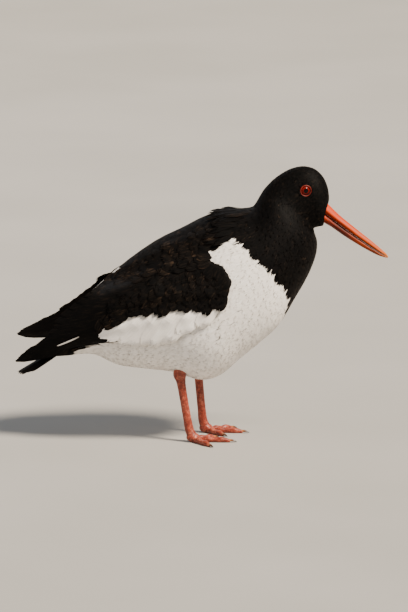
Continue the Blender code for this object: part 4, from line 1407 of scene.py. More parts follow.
@dataclass
class Wing:
    """Folded wing: its arm, the tiers of coverts and the flight feathers."""

    place: Placing
    side: Side
    sheet: SideSheet
    plumage: bpy.types.Material
    skin_material: bpy.types.Material
    arm: tuple = ((29.0, 157.0, 29.0, 148.0), (24.0, 169.0, 24.0, 135.0), (8.0, 175.0, 8.0, 124.0),
                  (-16.0, 172.0, -16.0, 112.0), (-42.0, 163.0, -42.0, 104.0),
                  (-62.0, 153.0, -64.0, 102.0), (-84.0, 140.0, -88.0, 104.0))
    arm_lifts: tuple = (-2.2, -8.0)
    arm_grid: tuple = (33, 17)
    arm_roundness: tuple = (6, 8)
    primaries: FeatherRow = FeatherRow(
        10, ((-66.0, 104.0), (-62.0, 121.0)),
        ((-176.0, 72.0), (-170.0, 77.5), (-161.0, 84.5), (-149.0, 93.0)),
        12.0, (-6.0, -1.2), 0.12, tone=0.2)
    white_coverts: FeatherRow = FeatherRow(
        18, ((-60.0, 122.0), (-30.0, 131.0), (16.0, 141.0)),
        ((-99.5, 102.0), (-80.0, 97.0), (-58.0, 94.0), (-36.0, 96.0), (3.0, 116.0)),
        14.0, (-3.0, -0.2), pale=1.0, stray=0.9)
    white_streak: FeatherRow = FeatherRow(
        1, ((-113.0, 101.3), (-114.0, 101.0)), ((-134.0, 91.0), (-135.0, 90.4)), 1.3, (0.6, 1.8),
        pale=1.0)
    lower_tips: tuple = (
        (-98.0, 104.5), (-72.0, 118.0), (-42.0, 122.0), (-10.0, 124.0), (14.0, 129.0))
    middle_tips: tuple = (
        (-92.0, 127.0), (-65.0, 137.0), (-30.0, 143.0), (0.0, 144.0), (20.0, 144.0))
    upper_tips: tuple = (
        (-86.0, 149.0), (-58.0, 156.0), (-30.0, 161.0), (-6.0, 161.0), (13.0, 155.0))
    covert_rows: int = 11
    coverts_a_row: int = 23
    covert_width: float = 9.5
    covert_lifts: tuple = (-2.2, 0.5)
    covert_uneven: float = 0.2
    covert_stray: float = 1.1
    covert_way: tuple = ((-18.0, -10.0), (-14.0, -14.0), (-6.0, -16.0))
    edge_coverts: int = 13
    edge_width: float = 11.0
    edge_stray: float = 2.0
    edge_way: tuple = (-8.0, -17.0)
    covert_style: FeatherStyle = FeatherStyle(
        rows=6, columns=7, ragged=0.25, tip_width=0.3, uneven=0.3, tone_shape=(4.0, 6.0))
    white_style: FeatherStyle = FeatherStyle(
        rows=8, columns=7, ragged=0.12, tip_width=0.4, camber=0.02, uneven=0.1)
    quill_style: FeatherStyle = FeatherStyle(
        rows=14, columns=7, root_width=0.7, round_from=0.62, tip_width=0.1, ragged=0.012,
        camber=0.05, tilt=0.0, thickness=0.3, rise=0.35, shaft=0.2, uneven=0.0)

    def build_arm(self) -> bpy.types.Object:
        """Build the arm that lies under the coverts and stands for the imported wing.

        Returns:
            The arm.
        """
        shares, across = (np.linspace(0, 1, count) for count in self.arm_grid)
        edges = smooth_line(self.arm, shares)
        u = edges[:, None, 0] * (1 - across) + edges[:, None, 2] * across
        v = edges[:, None, 1] * (1 - across) + edges[:, None, 3] * across
        base, _, _, out = self.sheet.frames(u, v)
        sides, ends = self.arm_roundness
        dome = (1 - (2 * across - 1) ** sides) * (1 - (2 * shares[:, None] - 1) ** ends)
        high, low = self.arm_lifts
        middle = (high + low) / 2
        top = base + out * (middle + (high - middle) * dome)[..., None]
        under = base + out * (middle + (low - middle) * dome)[..., None]
        points, faces = closed_pair(top, under)
        made = self.place.mesh_object(
            f"wing_arm_{self.side.label}", points, faces, self.skin_material,
            {"pale": np.zeros(len(points))})
        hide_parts("wing_" + self.side.label)
        return made

    def build_quills(self, seed: int) -> bpy.types.Object:
        """Build primaries and tertials.

        Args:
            seed: start of the random draws.

        Returns:
            The flight feathers, as one piece.
        """
        quills = Plumage(f"wing_quills_{self.side.label}", seed)
        self.primaries.lay(quills, self.sheet, self.quill_style, True)
        TERTIALS[self.side].lay(quills, self.sheet, self.quill_style, True)
        return quills.build(self.place, self.plumage)

    def covert_row(self, k: int) -> FeatherRow:
        """Give one row of black coverts, counted up from the lower edge of the wing.

        Args:
            k: number of the row, from 0.

        Returns:
            The row, with fewer, wider and steeper feathers where it is the edge.
        """
        share = 2 * k / (self.covert_rows - 1)
        near, far = self.lower_tips, self.middle_tips
        if share >= 1:
            near, far, share = self.middle_tips, self.upper_tips, share - 1
        tips = np.array(near) * (1 - share) + np.array(far) * share
        if k == 0:
            return FeatherRow(
                self.edge_coverts, tips - self.edge_way, tips, self.edge_width,
                self.covert_lifts, uneven_length=self.covert_uneven, stray=self.edge_stray)
        ways = smooth_line(self.covert_way, np.linspace(0, 1, len(tips)))
        return FeatherRow(
            self.coverts_a_row, tips - ways, tips, self.covert_width, self.covert_lifts,
            uneven_length=self.covert_uneven, stray=self.covert_stray, stagger=0.5 * (k % 2))

    def build_coverts(self, seed: int) -> bpy.types.Object:
        """Build the white greater coverts and the black tiers over them.

        Args:
            seed: start of the random draws.

        Returns:
            The coverts, as one piece.
        """
        coverts = Plumage(f"wing_coverts_{self.side.label}", seed, 0.5)
        self.white_coverts.lay(coverts, self.sheet, self.white_style)
        self.white_streak.lay(coverts, self.sheet, self.white_style)
        for k in range(self.covert_rows):
            self.covert_row(k).lay(coverts, self.sheet, self.covert_style)
        return coverts.build(self.place, self.plumage)


def closed_pair(top: np.ndarray, under: np.ndarray) -> tuple[np.ndarray, list]:
    """Join two grids of points, alike in size, into one closed surface.

    Args:
        top: outer grid, rows by columns by three.
        under: inner grid.

    Returns:
        All the points, and the corner numbers of each face.
    """
    rows, columns = top.shape[:2]
    size = rows * columns
    faces = []
    for i in range(rows - 1):
        for j in range(columns - 1):
            a, b = i * columns + j, (i + 1) * columns + j
            faces.append((a, b, b + 1, a + 1))
            faces.append((size + a, size + a + 1, size + b + 1, size + b))
    rim = [i * columns for i in range(rows)]
    rim += [(rows - 1) * columns + j for j in range(1, columns)]
    rim += [i * columns + columns - 1 for i in range(rows - 2, -1, -1)]
    rim += list(range(columns - 2, 0, -1))
    for a, b in zip(rim, rim[1:] + rim[:1]):
        faces.append((a, size + a, size + b, b))
    return np.concatenate([top.reshape(-1, 3), under.reshape(-1, 3)]), faces


@dataclass
class Shoulder:
    """Scapulars laid over the top of each folded wing; the mantle between them is built with the body
    coat.
    """

    place: Placing
    plumage: bpy.types.Material
    low_tips: tuple = ((-106.0, 136.0), (-66.0, 153.0), (-34.0, 162.0), (-8.0, 168.0))
    high_tips: tuple = ((-98.0, 143.0), (-62.0, 166.0), (-28.0, 186.0), (0.0, 199.0))
    way: tuple = ((-25.0, -14.0), (-22.0, -11.0), (-17.0, -8.0))
    rows: int = 8
    a_row: int = 17
    width: float = 12.0
    lifts: tuple = (-1.8, 1.2)
    uneven: float = 0.25
    stray: float = 1.5
    style: FeatherStyle = FeatherStyle(
        rows=7, columns=7, ragged=0.25, tip_width=0.25, uneven=0.45, tone_shape=(5.0, 5.0))

    def build(self, side: Side, sheet: SideSheet, seed: int) -> bpy.types.Object:
        """Build the scapulars of one side.

        Args:
            side: side of the bird.
            sheet: surface over that side's wing and back.
            seed: start of the random draws.

        Returns:
            The scapulars, as one piece.
        """
        feathers = Plumage(f"scapulars_{side.label}", seed, 0.4)
        for k in range(self.rows):
            share = k / (self.rows - 1)
            tips = np.array(self.low_tips) * (1 - share) + np.array(self.high_tips) * share
            ways = smooth_line(self.way, np.linspace(0, 1, len(tips)))
            row = FeatherRow(
                self.a_row, tips - ways, tips, self.width, self.lifts,
                uneven_length=self.uneven, stray=self.stray, stagger=0.5 * (k % 2))
            row.lay(feathers, sheet, self.style)
        return feathers.build(self.place, self.plumage)


@dataclass
class Tail:
    """Twelve tail feathers, all drawn black, under their coverts; the real ones are white at the
    root.
    """

    place: Placing
    plumage: bpy.types.Material
    half: FeatherRow = FeatherRow(
        6, ((23.0, 1.8), (23.0, 6.0)), ((70.5, 2.5), (68.0, 7.5), (57.0, 11.0)), 9.0,
        (0.4, 0.0), -0.75, tone=0.2)
    style: FeatherStyle = FeatherStyle(
        rows=12, columns=7, root_width=0.6, round_from=0.75, tip_width=0.2, ragged=0.02,
        camber=0.03, tilt=0.0, thickness=0.4, rise=0.5, shaft=0.25, uneven=0.0)

    def build(self, seed: int) -> bpy.types.Object:
        """Build both halves, one on each side.

        Args:
            seed: start of the random draws.

        Returns:
            The tail feathers, as one piece.
        """
        feathers = Plumage("tail_quills", seed)
        for side in Side:
            self.half.lay(feathers, TailSheet(side), self.style, True)
        return feathers.build(self.place, self.plumage)


@dataclass
class Bill:
    """Both halves of the bill, with the mouth line between and the nasal groove above."""

    place: Placing
    material: bpy.types.Material
    mouth: float = 0.53
    mouth_gap: float = 0.16
    steps: int = 60
    sides: int = 24
    crowding: float = 0.9
    length: float = 80.0
    girth: float = 1.6
    lowest_start: float = 0.85
    side_fullness: float = 0.85
    crown_fullness: float = 0.9
    crown_width: float = 0.55
    keel_narrowing: float = 0.35
    groove: tuple = ((118.0, 210.5), (140.0, 194.0))
    groove_depth: float = 0.9
    groove_width: float = 1.1
    groove_fade: float = 1.2
    # Painted shade in the nasal groove, as a share of how deep it is cut.
    groove_shade: float = 0.85
    ridge: float = 0.2
    # Strength, start and fade of the painted shade on the lower side, partly dark pigment.
    shade_and_pigment: float = 0.95
    shade_level: float = 0.27
    shade_fade: float = 0.2
    clear_root: float = 0.25
    root_reach: float = 4.0
    tip_from: float = 0.78
    clear_tip: float = 0.8

    def build(self) -> list[bpy.types.Object]:
        """Build the two halves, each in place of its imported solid.

        Returns:
            The upper and the lower half.
        """
        made = []
        for name, upper in (("bill_upper", True), ("bill_lower", False)):
            points, faces, attributes, maps = self.half(upper)
            piece = self.place.mesh_object(
                name + "_horn", points, faces, self.material, attributes, maps)
            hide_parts(name)
            made.append(piece)
        return made

    def half(self, upper: bool) -> tuple:
        """Points, faces, attributes and maps of the upper or the lower half.

        Args:
            upper: build the upper half, otherwise the lower.

        Returns:
            Points, faces, attributes and maps.
        """
        places = np.linspace(0, 1, self.steps) ** self.crowding * (len(BILL_SECTIONS) - 1)
        rows = smooth_rows(BILL_SECTIONS, places)
        turns = np.arange(self.sides) / self.sides * 2 * math.pi
        points, along, flank, flat = [], [], [], []
        for place, row in zip(places / places[-1], rows):
            top, low, wide = row[0:2], row[2:4], row[4]
            depth = np.linalg.norm(low - top)
            down = (low - top) / depth
            mouth = depth * self.mouth
            start = 0.0 if upper else min(mouth + self.mouth_gap, depth * self.lowest_start)
            reach = mouth if upper else depth - start
            for angle in turns:
                out, drop = math.sin(angle), math.cos(angle)
                share, width = self.section(upper, out, drop)
                spot = top + down * (start + reach * share)
                level = (start + reach * share) / depth
                cut = self.cut(spot, upper) if abs(out) > self.ridge else 0.0
                y = wide * width
                points.append((spot[0], y - math.copysign(cut, y), spot[1]))
                along.append(place)
                # The nasal groove is darkened with painted shade where it is cut.
                groove = self.groove_shade * cut / self.groove_depth
                flank.append(max(self.shade_and_pigment_share(level, place), groove))
                flat.append((level * depth * self.girth, place * self.length))
        return (np.array(points), tube_faces(self.steps, self.sides),
                {"along": along, "flank": flank}, {BARB_MAP: np.array(flat)})

    def shade_and_pigment_share(self, level: float, place: float) -> float:
        """Share of the painted shade, partly the bill's own dark pigment, along the lower side,
        weaker at the root and the tip.

        Args:
            level: share of the depth, from the culmen down.
            place: share of the length, from the root.

        Returns:
            The stain's share, from 0 to 1.
        """
        down = min(max((level - self.shade_level) / self.shade_fade, 0.0), 1.0)
        root = min(1.0, self.clear_root + place * self.root_reach)
        tip = max(0.0, (place - self.tip_from) / (1 - self.tip_from))
        return self.shade_and_pigment * down * root * (1 - self.clear_tip * tip)

    def section(self, upper: bool, out: float, drop: float) -> tuple[float, float]:
        """Share of the half's depth and width at a turn round it.

        Args:
            upper: whether it is the upper half.
            out: sine of the turn from the top.
            drop: cosine of that turn.

        Returns:
            Shares of depth and of half width.
        """
        width = math.copysign(abs(out) ** self.side_fullness, out)
        share = 0.5 - 0.5 * drop
        if not upper:
            return share, width * (1 - self.keel_narrowing * share**2)
        share = share**self.crown_fullness
        if drop > 0:
            width *= self.crown_width + (1 - self.crown_width) * share**0.5
        return share, width

    def cut(self, spot: np.ndarray, upper: bool) -> float:
        """Depth of the nasal groove at a point of the upper half.

        Args:
            spot: point in the side view.
            upper: whether it is the upper half.

        Returns:
            The depth in millimetres.
        """
        if not upper:
            return 0.0
        start, end = (np.array(point) for point in self.groove)
        way = end - start
        share = float(np.dot(spot - start, way) / np.dot(way, way))
        off = np.linalg.norm(spot - start - way * min(max(share, 0.0), 1.0))
        ends = min(1.0, max(0.0, 1 - abs(share - 0.5) * self.groove_fade)) ** 0.5
        return self.groove_depth * ends * math.exp(-((off / self.groove_width) ** 2))


@dataclass
class Eyes:
    """Each eye with its pupil and iris, in a fleshy ring of bare skin."""

    place: Placing
    pupil: bpy.types.Material
    iris: bpy.types.Material
    white: bpy.types.Material
    ring: bpy.types.Material
    pupil_degrees: float = 21.0
    iris_degrees: float = 46.0
    bulge: float = 0.3
    lens_degrees: float = 36.0
    inset: float = 0.1
    sides: int = 40
    rings: tuple = (5, 8, 14)
    ring_radius: float = 4.95
    ring_rise: float = 5.35
    ring_tube: tuple = (0.44, 0.46)
    ring_grid: tuple = (72, 12)
    beads: int = 24
    bead_height: float = 0.14

    def frame(self, side: Side) -> tuple:
        """Centre of an eye, its axis, and the directions across and up.

        Args:
            side: side of the bird.

        Returns:
            The centre and the three directions.
        """
        axis = eye_axis(side)
        up = np.array((0.0, 0.0, 1.0))
        return EYE_CENTRE * (1, side.value, 1), axis, np.cross(axis, up), up

    def layer(self, angle: float) -> int:
        """Give the material at an angle from the axis: 0 pupil, 1 iris and 2 the rest."""
        return sum(angle > edge + 0.1 for edge in (self.pupil_degrees, self.iris_degrees))

    def build_ball(self, side: Side) -> bpy.types.Object:
        """Build the eyeball, its faces parted into pupil, iris and white.

        Args:
            side: side of the bird.

        Returns:
            The eyeball.
        """
        centre, axis, across, up = self.frame(side)
        sides = self.sides
        polar = np.radians(np.concatenate([
            np.linspace(0, self.pupil_degrees, self.rings[0]),
            np.linspace(self.pupil_degrees, self.iris_degrees, self.rings[1])[1:],
            np.linspace(self.iris_degrees, 180, self.rings[2])[1:]]))
        points, starts = [], []
        for angle in polar[1:-1]:
            starts.append(len(points))
            lens = self.bulge * math.exp(-((math.degrees(angle) / self.lens_degrees) ** 2))
            radius = EYE_RADIUS + lens - self.inset
            for k in range(sides):
                turn = 2 * math.pi * k / sides
                out = across * math.cos(turn) + up * math.sin(turn)
                points.append(centre + (axis * math.cos(angle) + out * math.sin(angle)) * radius)
        front, back = len(points), len(points) + 1
        crown = EYE_RADIUS + self.bulge - self.inset
        points += [centre + axis * crown, centre - axis * EYE_RADIUS]
        faces = [(front, k, (k + 1) % sides) for k in range(sides)]
        slots = [0] * sides
        for n, (a, b) in enumerate(zip(starts, starts[1:])):
            for k in range(sides):
                faces.append((a + k, b + k, b + (k + 1) % sides, a + (k + 1) % sides))
            slots += [self.layer(math.degrees(polar[n + 2]))] * sides
        last = starts[-1]
        faces += [(back, last + (k + 1) % sides, last + k) for k in range(sides)]
        slots += [2] * sides
        made = self.place.mesh_object(
            f"eyeball_{side.label}", np.array(points), faces, self.pupil)
        made.data.materials.append(self.iris)
        made.data.materials.append(self.white)
        made.data.polygons.foreach_set("material_index", np.array(slots, np.int32))
        face_out(made)
        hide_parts("eye_" + side.label)
        return made

    def build_ring(self, side: Side) -> bpy.types.Object:
        """Build the ring of bare skin round an eye, finely beaded.

        Args:
            side: side of the bird.

        Returns:
            The ring.
        """
        centre, axis, across, up = self.frame(side)
        middle = centre + axis * self.ring_rise
        around, tube = self.ring_grid
        points, seam = [], []
        for i in range(around):
            turn = 2 * math.pi * i / around
            out = across * math.cos(turn) + up * math.sin(turn)
            bead = 0.5 + 0.5 * math.cos(turn * self.beads + 0.8 * math.sin(turn * 3))
            wide, high = (size * (0.9 + self.bead_height * bead) for size in self.ring_tube)
            for k in range(tube):
                angle = 2 * math.pi * k / tube
                points.append(middle + out * (self.ring_radius + wide * math.cos(angle))
                              + axis * (high * math.sin(angle)))
                seam.append(0.5 * (1 - bead) * max(0.0, math.sin(angle)))
        faces = []
        for i in range(around):
            a, b = i * tube, (i + 1) % around * tube
            for k in range(tube):
                faces.append((a + k, b + k, b + (k + 1) % tube, a + (k + 1) % tube))
        made = self.place.mesh_object(
            f"eye_ring_{side.label}", np.array(points), faces, self.ring, {"seam": seam})
        face_out(made)
        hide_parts("eyelid_" + side.label)
        return made


def face_out(piece: bpy.types.Object) -> None:
    """Turn every face of a closed piece outward.

    Args:
        piece: a closed piece.
    """
    built = bmesh.new()
    built.from_mesh(piece.data)
    bmesh.ops.recalc_face_normals(built, faces=built.faces)
    built.to_mesh(piece.data)
    built.free()


@dataclass(frozen=True)
class Stance:
    """How one leg stands: shifts forward, distances out and toe headings in degrees."""

    ankle_shift: float
    foot_shift: float
    ankle_out: float
    foot_out: float
    inner: float
    middle: float
    outer: float


STANCES = {
    Side.RIGHT: Stance(0.0, 0.0, 21.0, 23.0, 38.0, -4.0, -58.0),
    Side.LEFT: Stance(17.0, 12.0, 21.0, 23.0, -50.0, -6.0, 34.0),
}


@dataclass
class Leg:
    """Shank, ankle, foot and claws of one leg, with raised scales all over."""

    place: Placing
    side: Side
    skin_material: bpy.types.Material
    horn: bpy.types.Material
    ball: tuple = (-7.6, 0.0, 4.4)
    ball_radii: tuple = (6.3, 5.3, 4.4)
    ankle_z: float = 67.5
    toe_lengths: tuple = (("inner", 25.0), ("middle", 34.5), ("outer", 29.0))
    toe_radii: tuple = (3.3, 2.8, 2.55, 3.0, 2.6, 2.4, 2.75, 2.35, 1.7)
    floor_bite: float = 0.35
    web_share: float = 0.42
    voxel: float = 0.42
    scale_mm: float = 1.9
    scale_height: float = 0.24
    scale_edge: float = 0.35
    scale_squash: float = 0.75
    foot_scale: tuple = (0.8, 1.5)
    foot_below: float = 7.0
    sole_fade: tuple = (0.3, 1.2)
    seam_share: float = 0.75
    shank_grid: tuple = (49, 28)
    ball_grid: tuple = (11, 24)
    toe_grid: tuple = (41, 16)
    skin_share: float = 0.97
    ball_cut: float = 0.12
    web_heights: tuple = (0.8, 2.2)
    web_back: float = 2.0
    web_hollow: float = 1.6
    claw_grid: tuple = (16, 16)
    claw_root: float = 0.8
    claw_length: float = 7.1
    claw_radius: float = 1.45
    claw_taper: tuple = (1.05, 0.9, 2.6)
    claw_width: float = 0.9
    claw_heights: tuple = (1.95, 0.65)

    @property
    def stance(self) -> Stance:
        """How this leg stands."""
        return STANCES[self.side]

    def centre(self, x: float, z: float) -> np.ndarray:
        """Centre of a leg section, moved with the stance.

        Args:
            x: place forward.
            z: height.

        Returns:
            The centre, in millimetres.
        """
        share = min(max((z - self.ball[2]) / (self.ankle_z - self.ball[2]), 0.0), 1.3)
        stance = self.stance
        forward = stance.foot_shift + (stance.ankle_shift - stance.foot_shift) * share
        out = stance.foot_out + (stance.ankle_out - stance.foot_out) * share
        return np.array((x + forward, out * self.side.value, z))

    def toe(self, name: str) -> tuple[np.ndarray, np.ndarray, float]:
        """Start, unit heading and length of a toe.

        Args:
            name: inner, middle or outer.

        Returns:
            Its start, heading and length.
        """
        stance = self.stance
        turn = math.radians(getattr(stance, name))
        start = np.array((self.ball[0] + stance.foot_shift, stance.foot_out * self.side.value, 0.0))
        heading = np.array((math.cos(turn), math.sin(turn), 0.0))
        return start, heading, dict(self.toe_lengths)[name]

    def build(self) -> bpy.types.Object:
        """Build leg and foot as one scaly skin.

        Returns:
            The leg with its foot.
        """
        parts = [self.shank(), self.joint()]
        parts += [self.toe_tube(name) for name, _ in self.toe_lengths]
        parts.append(self.web())
        built = bmesh.new()
        for rings in parts:
            rows = [[built.verts.new(point) for point in ring] for ring in rings]
            count = len(rows[0])
            for near, far in zip(rows, rows[1:]):
                for i in range(count):
                    k = (i + 1) % count
                    built.faces.new((near[i], near[k], far[k], far[i]))
            built.faces.new(rows[0])
            built.faces.new(rows[-1])
        bmesh.ops.recalc_face_normals(built, faces=built.faces)
        mesh = bpy.data.meshes.new("leg")
        built.to_mesh(mesh)
        built.free()
        return self.scaled(self.fused(mesh))

    def fused(self, mesh: bpy.types.Mesh) -> bpy.types.Mesh:
        """Fuse the crossing parts of a leg into one smooth skin.

        Args:
            mesh: the crossing parts.

        Returns:
            The fused skin.
        """
        rough = add_object("leg", mesh)
        remesh = rough.modifiers.new("fuse", "REMESH")
        remesh.mode, remesh.voxel_size = "VOXEL", self.voxel
        soften = rough.modifiers.new("soften", "SMOOTH")
        soften.factor, soften.iterations = 0.5, 4
        bpy.context.view_layer.update()
        graph = bpy.context.evaluated_depsgraph_get()
        smooth = bpy.data.meshes.new_from_object(rough.evaluated_get(graph))
        bpy.data.objects.remove(rough)
        return smooth

    def scaled(self, mesh: bpy.types.Mesh) -> bpy.types.Object:
        """Raise the scales on the fused skin, flatten its soles and make the piece.

        Args:
            mesh: the fused skin.

        Returns:
            The leg with its foot.
        """
        count = len(mesh.vertices)
        points, normals = np.empty(count * 3, np.float32), np.empty(count * 3, np.float32)
        mesh.vertices.foreach_get("co", points)
        mesh.vertices.foreach_get("normal", normals)
        points, normals = (item.reshape(-1, 3).astype(float) for item in (points, normals))
        gaps = np.array([self.seam(point) for point in points]) / self.scale_edge
        height = self.scale_height * (np.clip(gaps, 0, 1) ** 0.5 - 0.6)
        floor, fade = self.sole_fade
        off_sole = np.clip((points[:, 2] - floor) / fade, 0, 1)
        points = points + normals * (height * off_sole)[:, None]
        points[:, 2] = np.maximum(points[:, 2], 0.0)
        faces = [tuple(polygon.vertices) for polygon in mesh.polygons]
        name = self.side.label
        made = self.place.mesh_object(
            f"leg_skin_{name}", points, faces, self.skin_material,
            {"seam": np.clip(1 - gaps, 0, 1) * self.seam_share})
        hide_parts(f"leg_{name}", f"foot_{name}")
        return made

    def seam(self, point: np.ndarray) -> float:
        """Distance to the nearest seam between scales, in shares of a scale.

        Args:
            point: place on the skin, in millimetres.

        Returns:
            The distance, from 0 on a seam.
        """
        wide, high = self.scale_mm, self.scale_mm * self.scale_squash
        if point[2] < self.foot_below:
            wide, high = (self.scale_mm * share for share in self.foot_scale)
        spot = Vector((point[0] / wide, point[1] / wide, point[2] / high))
        near, next_near = noise.voronoi(spot)[0][:2]
        return next_near - near

    def ring(self, middle: np.ndarray, wide: tuple, count: int) -> list:
        """Level ring of points round a middle, with its reach forward and sideways."""
        return [middle + np.array((wide[0] * math.cos(a), wide[1] * math.sin(a), 0.0))
                for a in np.linspace(0, 2 * math.pi, count, endpoint=False)]

    def shank(self) -> list:
        """Rings of the leg from under the belly feathers to the foot.

        Returns:
            The rings, from the top down.
        """
        rows, sides = self.shank_grid
        share = self.skin_share
        sections = smooth_rows(LEG_SECTIONS, np.linspace(0, len(LEG_SECTIONS) - 1, rows))
        return [self.ring(self.centre(x, z), (fore * share, out * share), sides)
                for x, z, fore, out in sections]

    def joint(self) -> list:
        """Rings of the ball of the foot.

        Returns:
            The rings, from the top down.
        """
        stance = self.stance
        middle = np.array(self.ball) + (stance.foot_shift, stance.foot_out * self.side.value, 0)
        rows, sides = self.ball_grid
        fore, out, high = self.ball_radii
        rings = []
        for angle in np.linspace(self.ball_cut, math.pi - self.ball_cut, rows):
            level = middle + np.array((0.0, 0.0, high * math.cos(angle)))
            rings.append(self.ring(level, (fore * math.sin(angle), out * math.sin(angle)), sides))
        return rings

    def toe_tube(self, name: str) -> list:
        """Rings of a toe, swelling at its pads.

        Args:
            name: inner, middle or outer.

        Returns:
            The rings, from the ball out.
        """
        start, heading, length = self.toe(name)
        across = np.array((-heading[1], heading[0], 0.0))
        rows, sides = self.toe_grid
        shares = np.linspace(0, 1, rows)
        radii = smooth_line([(radius,) for radius in self.toe_radii], shares)[:, 0]
        rings = []
        for share, radius in zip(shares, radii):
            middle = start + heading * (length * share)
            middle[2] = radius - self.floor_bite
            rings.append([
                middle + across * (radius * math.cos(a)) + np.array((0, 0, radius * math.sin(a)))
                for a in np.linspace(0, 2 * math.pi, sides, endpoint=False)])
        return rings

    def web(self) -> list:
        """Rings of the small web between the middle and the outer toe.

        Returns:
            The lower and the upper ring.
        """
        start, middle, long_toe = self.toe("middle")
        _, outer, short_toe = self.toe("outer")
        first = start + middle * (long_toe * self.web_share)
        second = start + outer * (short_toe * self.web_share)
        ahead = middle + outer
        front = (first + second) / 2 - ahead * self.web_hollow
        corners = [start - ahead * self.web_back, first, front, second]
        return [[corner + np.array((0, 0, z)) for corner in corners] for z in self.web_heights]

    def build_claw(self, name: str) -> bpy.types.Object:
        """Build the claw of one toe, curved down to just above the floor.

        Args:
            name: inner, middle or outer.

        Returns:
            The claw.
        """
        start, heading, length = self.toe(name)
        across = np.array((-heading[1], heading[0], 0.0))
        rows, sides = self.claw_grid
        high, low = self.claw_heights
        full, fall, power = self.claw_taper
        points, along = [], []
        for share in np.arange(rows) / (rows - 1):
            radius = self.claw_radius * (full - fall * share**power)
            middle = start + heading * (length - self.claw_root + self.claw_length * share)
            middle[2] = high - (high - low) * share**2
            for a in np.arange(sides) * 2 * math.pi / sides:
                # The underside is hollowed, as on a real claw.
                depth = 0.85 if math.sin(a) > -0.4 else 0.6
                points.append(middle + across * (radius * self.claw_width * math.cos(a))
                              + np.array((0, 0, radius * depth * math.sin(a))))
                along.append(share)
        made = self.place.mesh_object(
            f"claw_{name}_horn_{self.side.label}", np.array(points), tube_faces(rows, sides),
            self.horn, {"along": along})
        face_out(made)
        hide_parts(f"claw_{name}_{self.side.label}")
        return made


@dataclass(frozen=True)
class SoftLamp:
    """Round area lamp: its place in metres, width, power in watts and colour."""

    name: str
    spot: tuple
    size: float
    power: float
    code: str


@dataclass
class Studio:
    """Plain pale floor, soft lights and the camera at the picture's angle."""

    place: Placing
    floor_material: bpy.types.Material
    target: tuple = (2.56, 0.0, 124.2)
    elevation_degrees: float = 10.0
    distance: float = 6.0
    frame_height: float = 0.5692
    sensor: float = 36.0
    floor_size: float = 60.0
    key_from: tuple = (0.74, -0.48, 0.98)
    key_strength: float = 9.2
    key_softness_degrees: float = 14.0
    key_code: str = "#fff1dd"
    lamps: tuple = (
        SoftLamp("fill", (-1.8, -1.6, 0.9), 2.0, 4.0, "#e4ecff"),
        SoftLamp("back", (-0.6, 1.8, 1.6), 1.2, 8.0, "#f4f6ff"),
    )
    lamp_target: tuple = (0.0, 0.0, 0.13)
    sky_code: str = "#dfe3e8"
    sky_strength: float = 0.5

    def build_floor(self) -> bpy.types.Object:
        """Build the floor, at the level of the soles.

        Returns:
            The floor.
        """
        built = bmesh.new()
        bmesh.ops.create_grid(built, x_segments=8, y_segments=8, size=self.floor_size / 2)
        mesh = bpy.data.meshes.new("studio_floor")
        built.to_mesh(mesh)
        built.free()
        mesh.materials.append(self.floor_material)
        made = add_object("studio_floor", mesh)
        return made

    def build_camera(self) -> bpy.types.Object:
        """Build a long lens that fills the picture's height with the frame height.

        Returns:
            The camera.
        """
        data = bpy.data.cameras.new("camera")
        data.sensor_width = self.sensor
        data.lens = self.sensor * self.distance / self.frame_height
        data.clip_start, data.clip_end = 0.1, 100.0
        made = add_object("camera", data)
        tilt = math.radians(self.elevation_degrees)
        back = Vector((0.0, -math.cos(tilt), math.sin(tilt)))
        made.location = self.place.world(self.target) + back * self.distance
        made.rotation_mode = "QUATERNION"
        made.rotation_quaternion = (-back).to_track_quat("-Z", "Y")
        bpy.context.scene.camera = made
        return made

    def build_lights(self) -> None:
        """Build a warm key from the front right, a cool fill, a back light and a dim sky."""
        key = bpy.data.lights.new("key", "SUN")
        key.energy, key.angle = self.key_strength, math.radians(self.key_softness_degrees)
        self.hang(key, self.key_code, (0.0, 0.0, 0.0), self.key_from)
        for lamp in self.lamps:
            data = bpy.data.lights.new(lamp.name, "AREA")
            data.shape, data.size, data.energy = "DISK", lamp.size, lamp.power
            self.hang(data, lamp.code, lamp.spot, Vector(lamp.spot) - Vector(self.lamp_target))
        world = bpy.data.worlds.new("sky")
        world.use_nodes = True
        background = world.node_tree.nodes["Background"]
        background.inputs["Color"].default_value = linear(self.sky_code)
        background.inputs["Strength"].default_value = self.sky_strength
        bpy.context.scene.world = world

    @staticmethod
    def hang(data: bpy.types.Light, code: str, spot: Sequence, away: Sequence) -> None:
        """Place a light.

        Args:
            data: the light.
            code: its colour.
            spot: its place, in metres.
            away: direction from which it shines.
        """
        data.color = linear(code)[:3]
        made = add_object(data.name, data)
        made.location = spot
        made.rotation_mode = "QUATERNION"
        made.rotation_quaternion = Vector(away).to_track_quat("Z", "Y")


def clear_start() -> None:
    """Remove the objects of the startup scene."""
    for item in list(bpy.data.objects):
        bpy.data.objects.remove(item, do_unlink=True)


def report(piece: bpy.types.Object) -> None:
    """Log the name and the number of triangles of a finished piece."""
    triangles = sum(len(polygon.vertices) - 2 for polygon in piece.data.polygons)
    LOG.info("%s: %d triangles", piece.name, triangles)


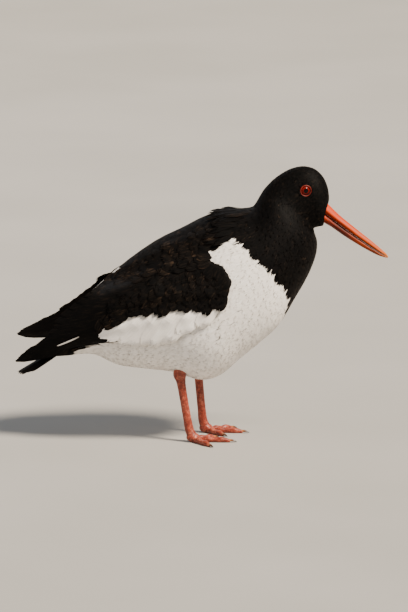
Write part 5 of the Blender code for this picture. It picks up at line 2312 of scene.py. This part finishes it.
def build_plumage(place: Placing, nodes: dict) -> None:
    """Build skin, coat, wings, scapulars and tail.

    Args:
        place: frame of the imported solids.
        nodes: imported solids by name.
    """
    plumage, skin = PlumageFinish().build(), SkinFinish().build()
    coat = BodyCoat(place, plumage, skin)
    report(coat.build_skin())
    for seed, region in enumerate(Region, COAT_SEED):
        report(coat.build_coat(region, seed))
    report(coat.build_mantle(MANTLE_SEED))
    shoulder = Shoulder(place, plumage)
    for side in Side:
        solids = [nodes["wing_" + side.label], nodes["torso"], nodes["neck"]]
        wing = Wing(place, side, SideSheet(place, solids, side, *WING_BENDS[side]), plumage, skin)
        report(wing.build_arm())
        report(wing.build_quills(QUILL_SEED + side.value))
        report(wing.build_coverts(COVERT_SEED + side.value))
        level = SideSheet(place, solids, side, 0.0, 0.0)
        report(shoulder.build(side, level, SCAPULAR_SEED + side.value))
    report(Tail(place, plumage).build(TAIL_SEED))


def build_bare_parts(place: Placing) -> None:
    """Build bill, eyes, eye rings, legs and claws.

    Args:
        place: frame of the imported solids.
    """
    leg_skin = BareSkinFinish(
        "leg_skin", ((0.3, "#7c2c1a"), (0.5, "#a3432a"), (0.68, "#c0694f")), "#4c170f", 3.5).build()
    ring_skin = BareSkinFinish(
        "eye_ring_skin", ((0.3, "#641206"), (0.7, "#8c220c")), "#380b05", 1.2, 0.45).build()
    pupil = EyeFinish("pupil_black", ((0.3, "#030202"), (0.7, "#080505"))).build()
    iris = EyeFinish("iris_red", ((0.25, "#3a0504"), (0.5, "#680d08"), (0.8, "#8e1a0d"))).build()
    rim = EyeFinish("eye_rim_dark", ((0.3, "#1a0806"), (0.7, "#2a0d0a"))).build()
    claw_horn = HornFinish().build()
    for piece in Bill(place, BillFinish().build()).build():
        report(piece)
    eyes = Eyes(place, pupil, iris, rim, ring_skin)
    for side in Side:
        report(eyes.build_ball(side))
        report(eyes.build_ring(side))
        leg = Leg(place, side, leg_skin, claw_horn)
        report(leg.build())
        for name, _ in leg.toe_lengths:
            report(leg.build_claw(name))


def main() -> None:
    """Build every piece of the bird and its studio, in order."""
    logging.basicConfig(level=logging.INFO, format="%(message)s")
    clear_start()
    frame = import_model()
    place = Placing()
    build_plumage(place, frame["nodes"])
    build_bare_parts(place)
    studio = Studio(place, PlasterFinish().build())
    report(studio.build_floor())
    studio.build_camera()
    studio.build_lights()


if __name__ == "__main__":
    main()
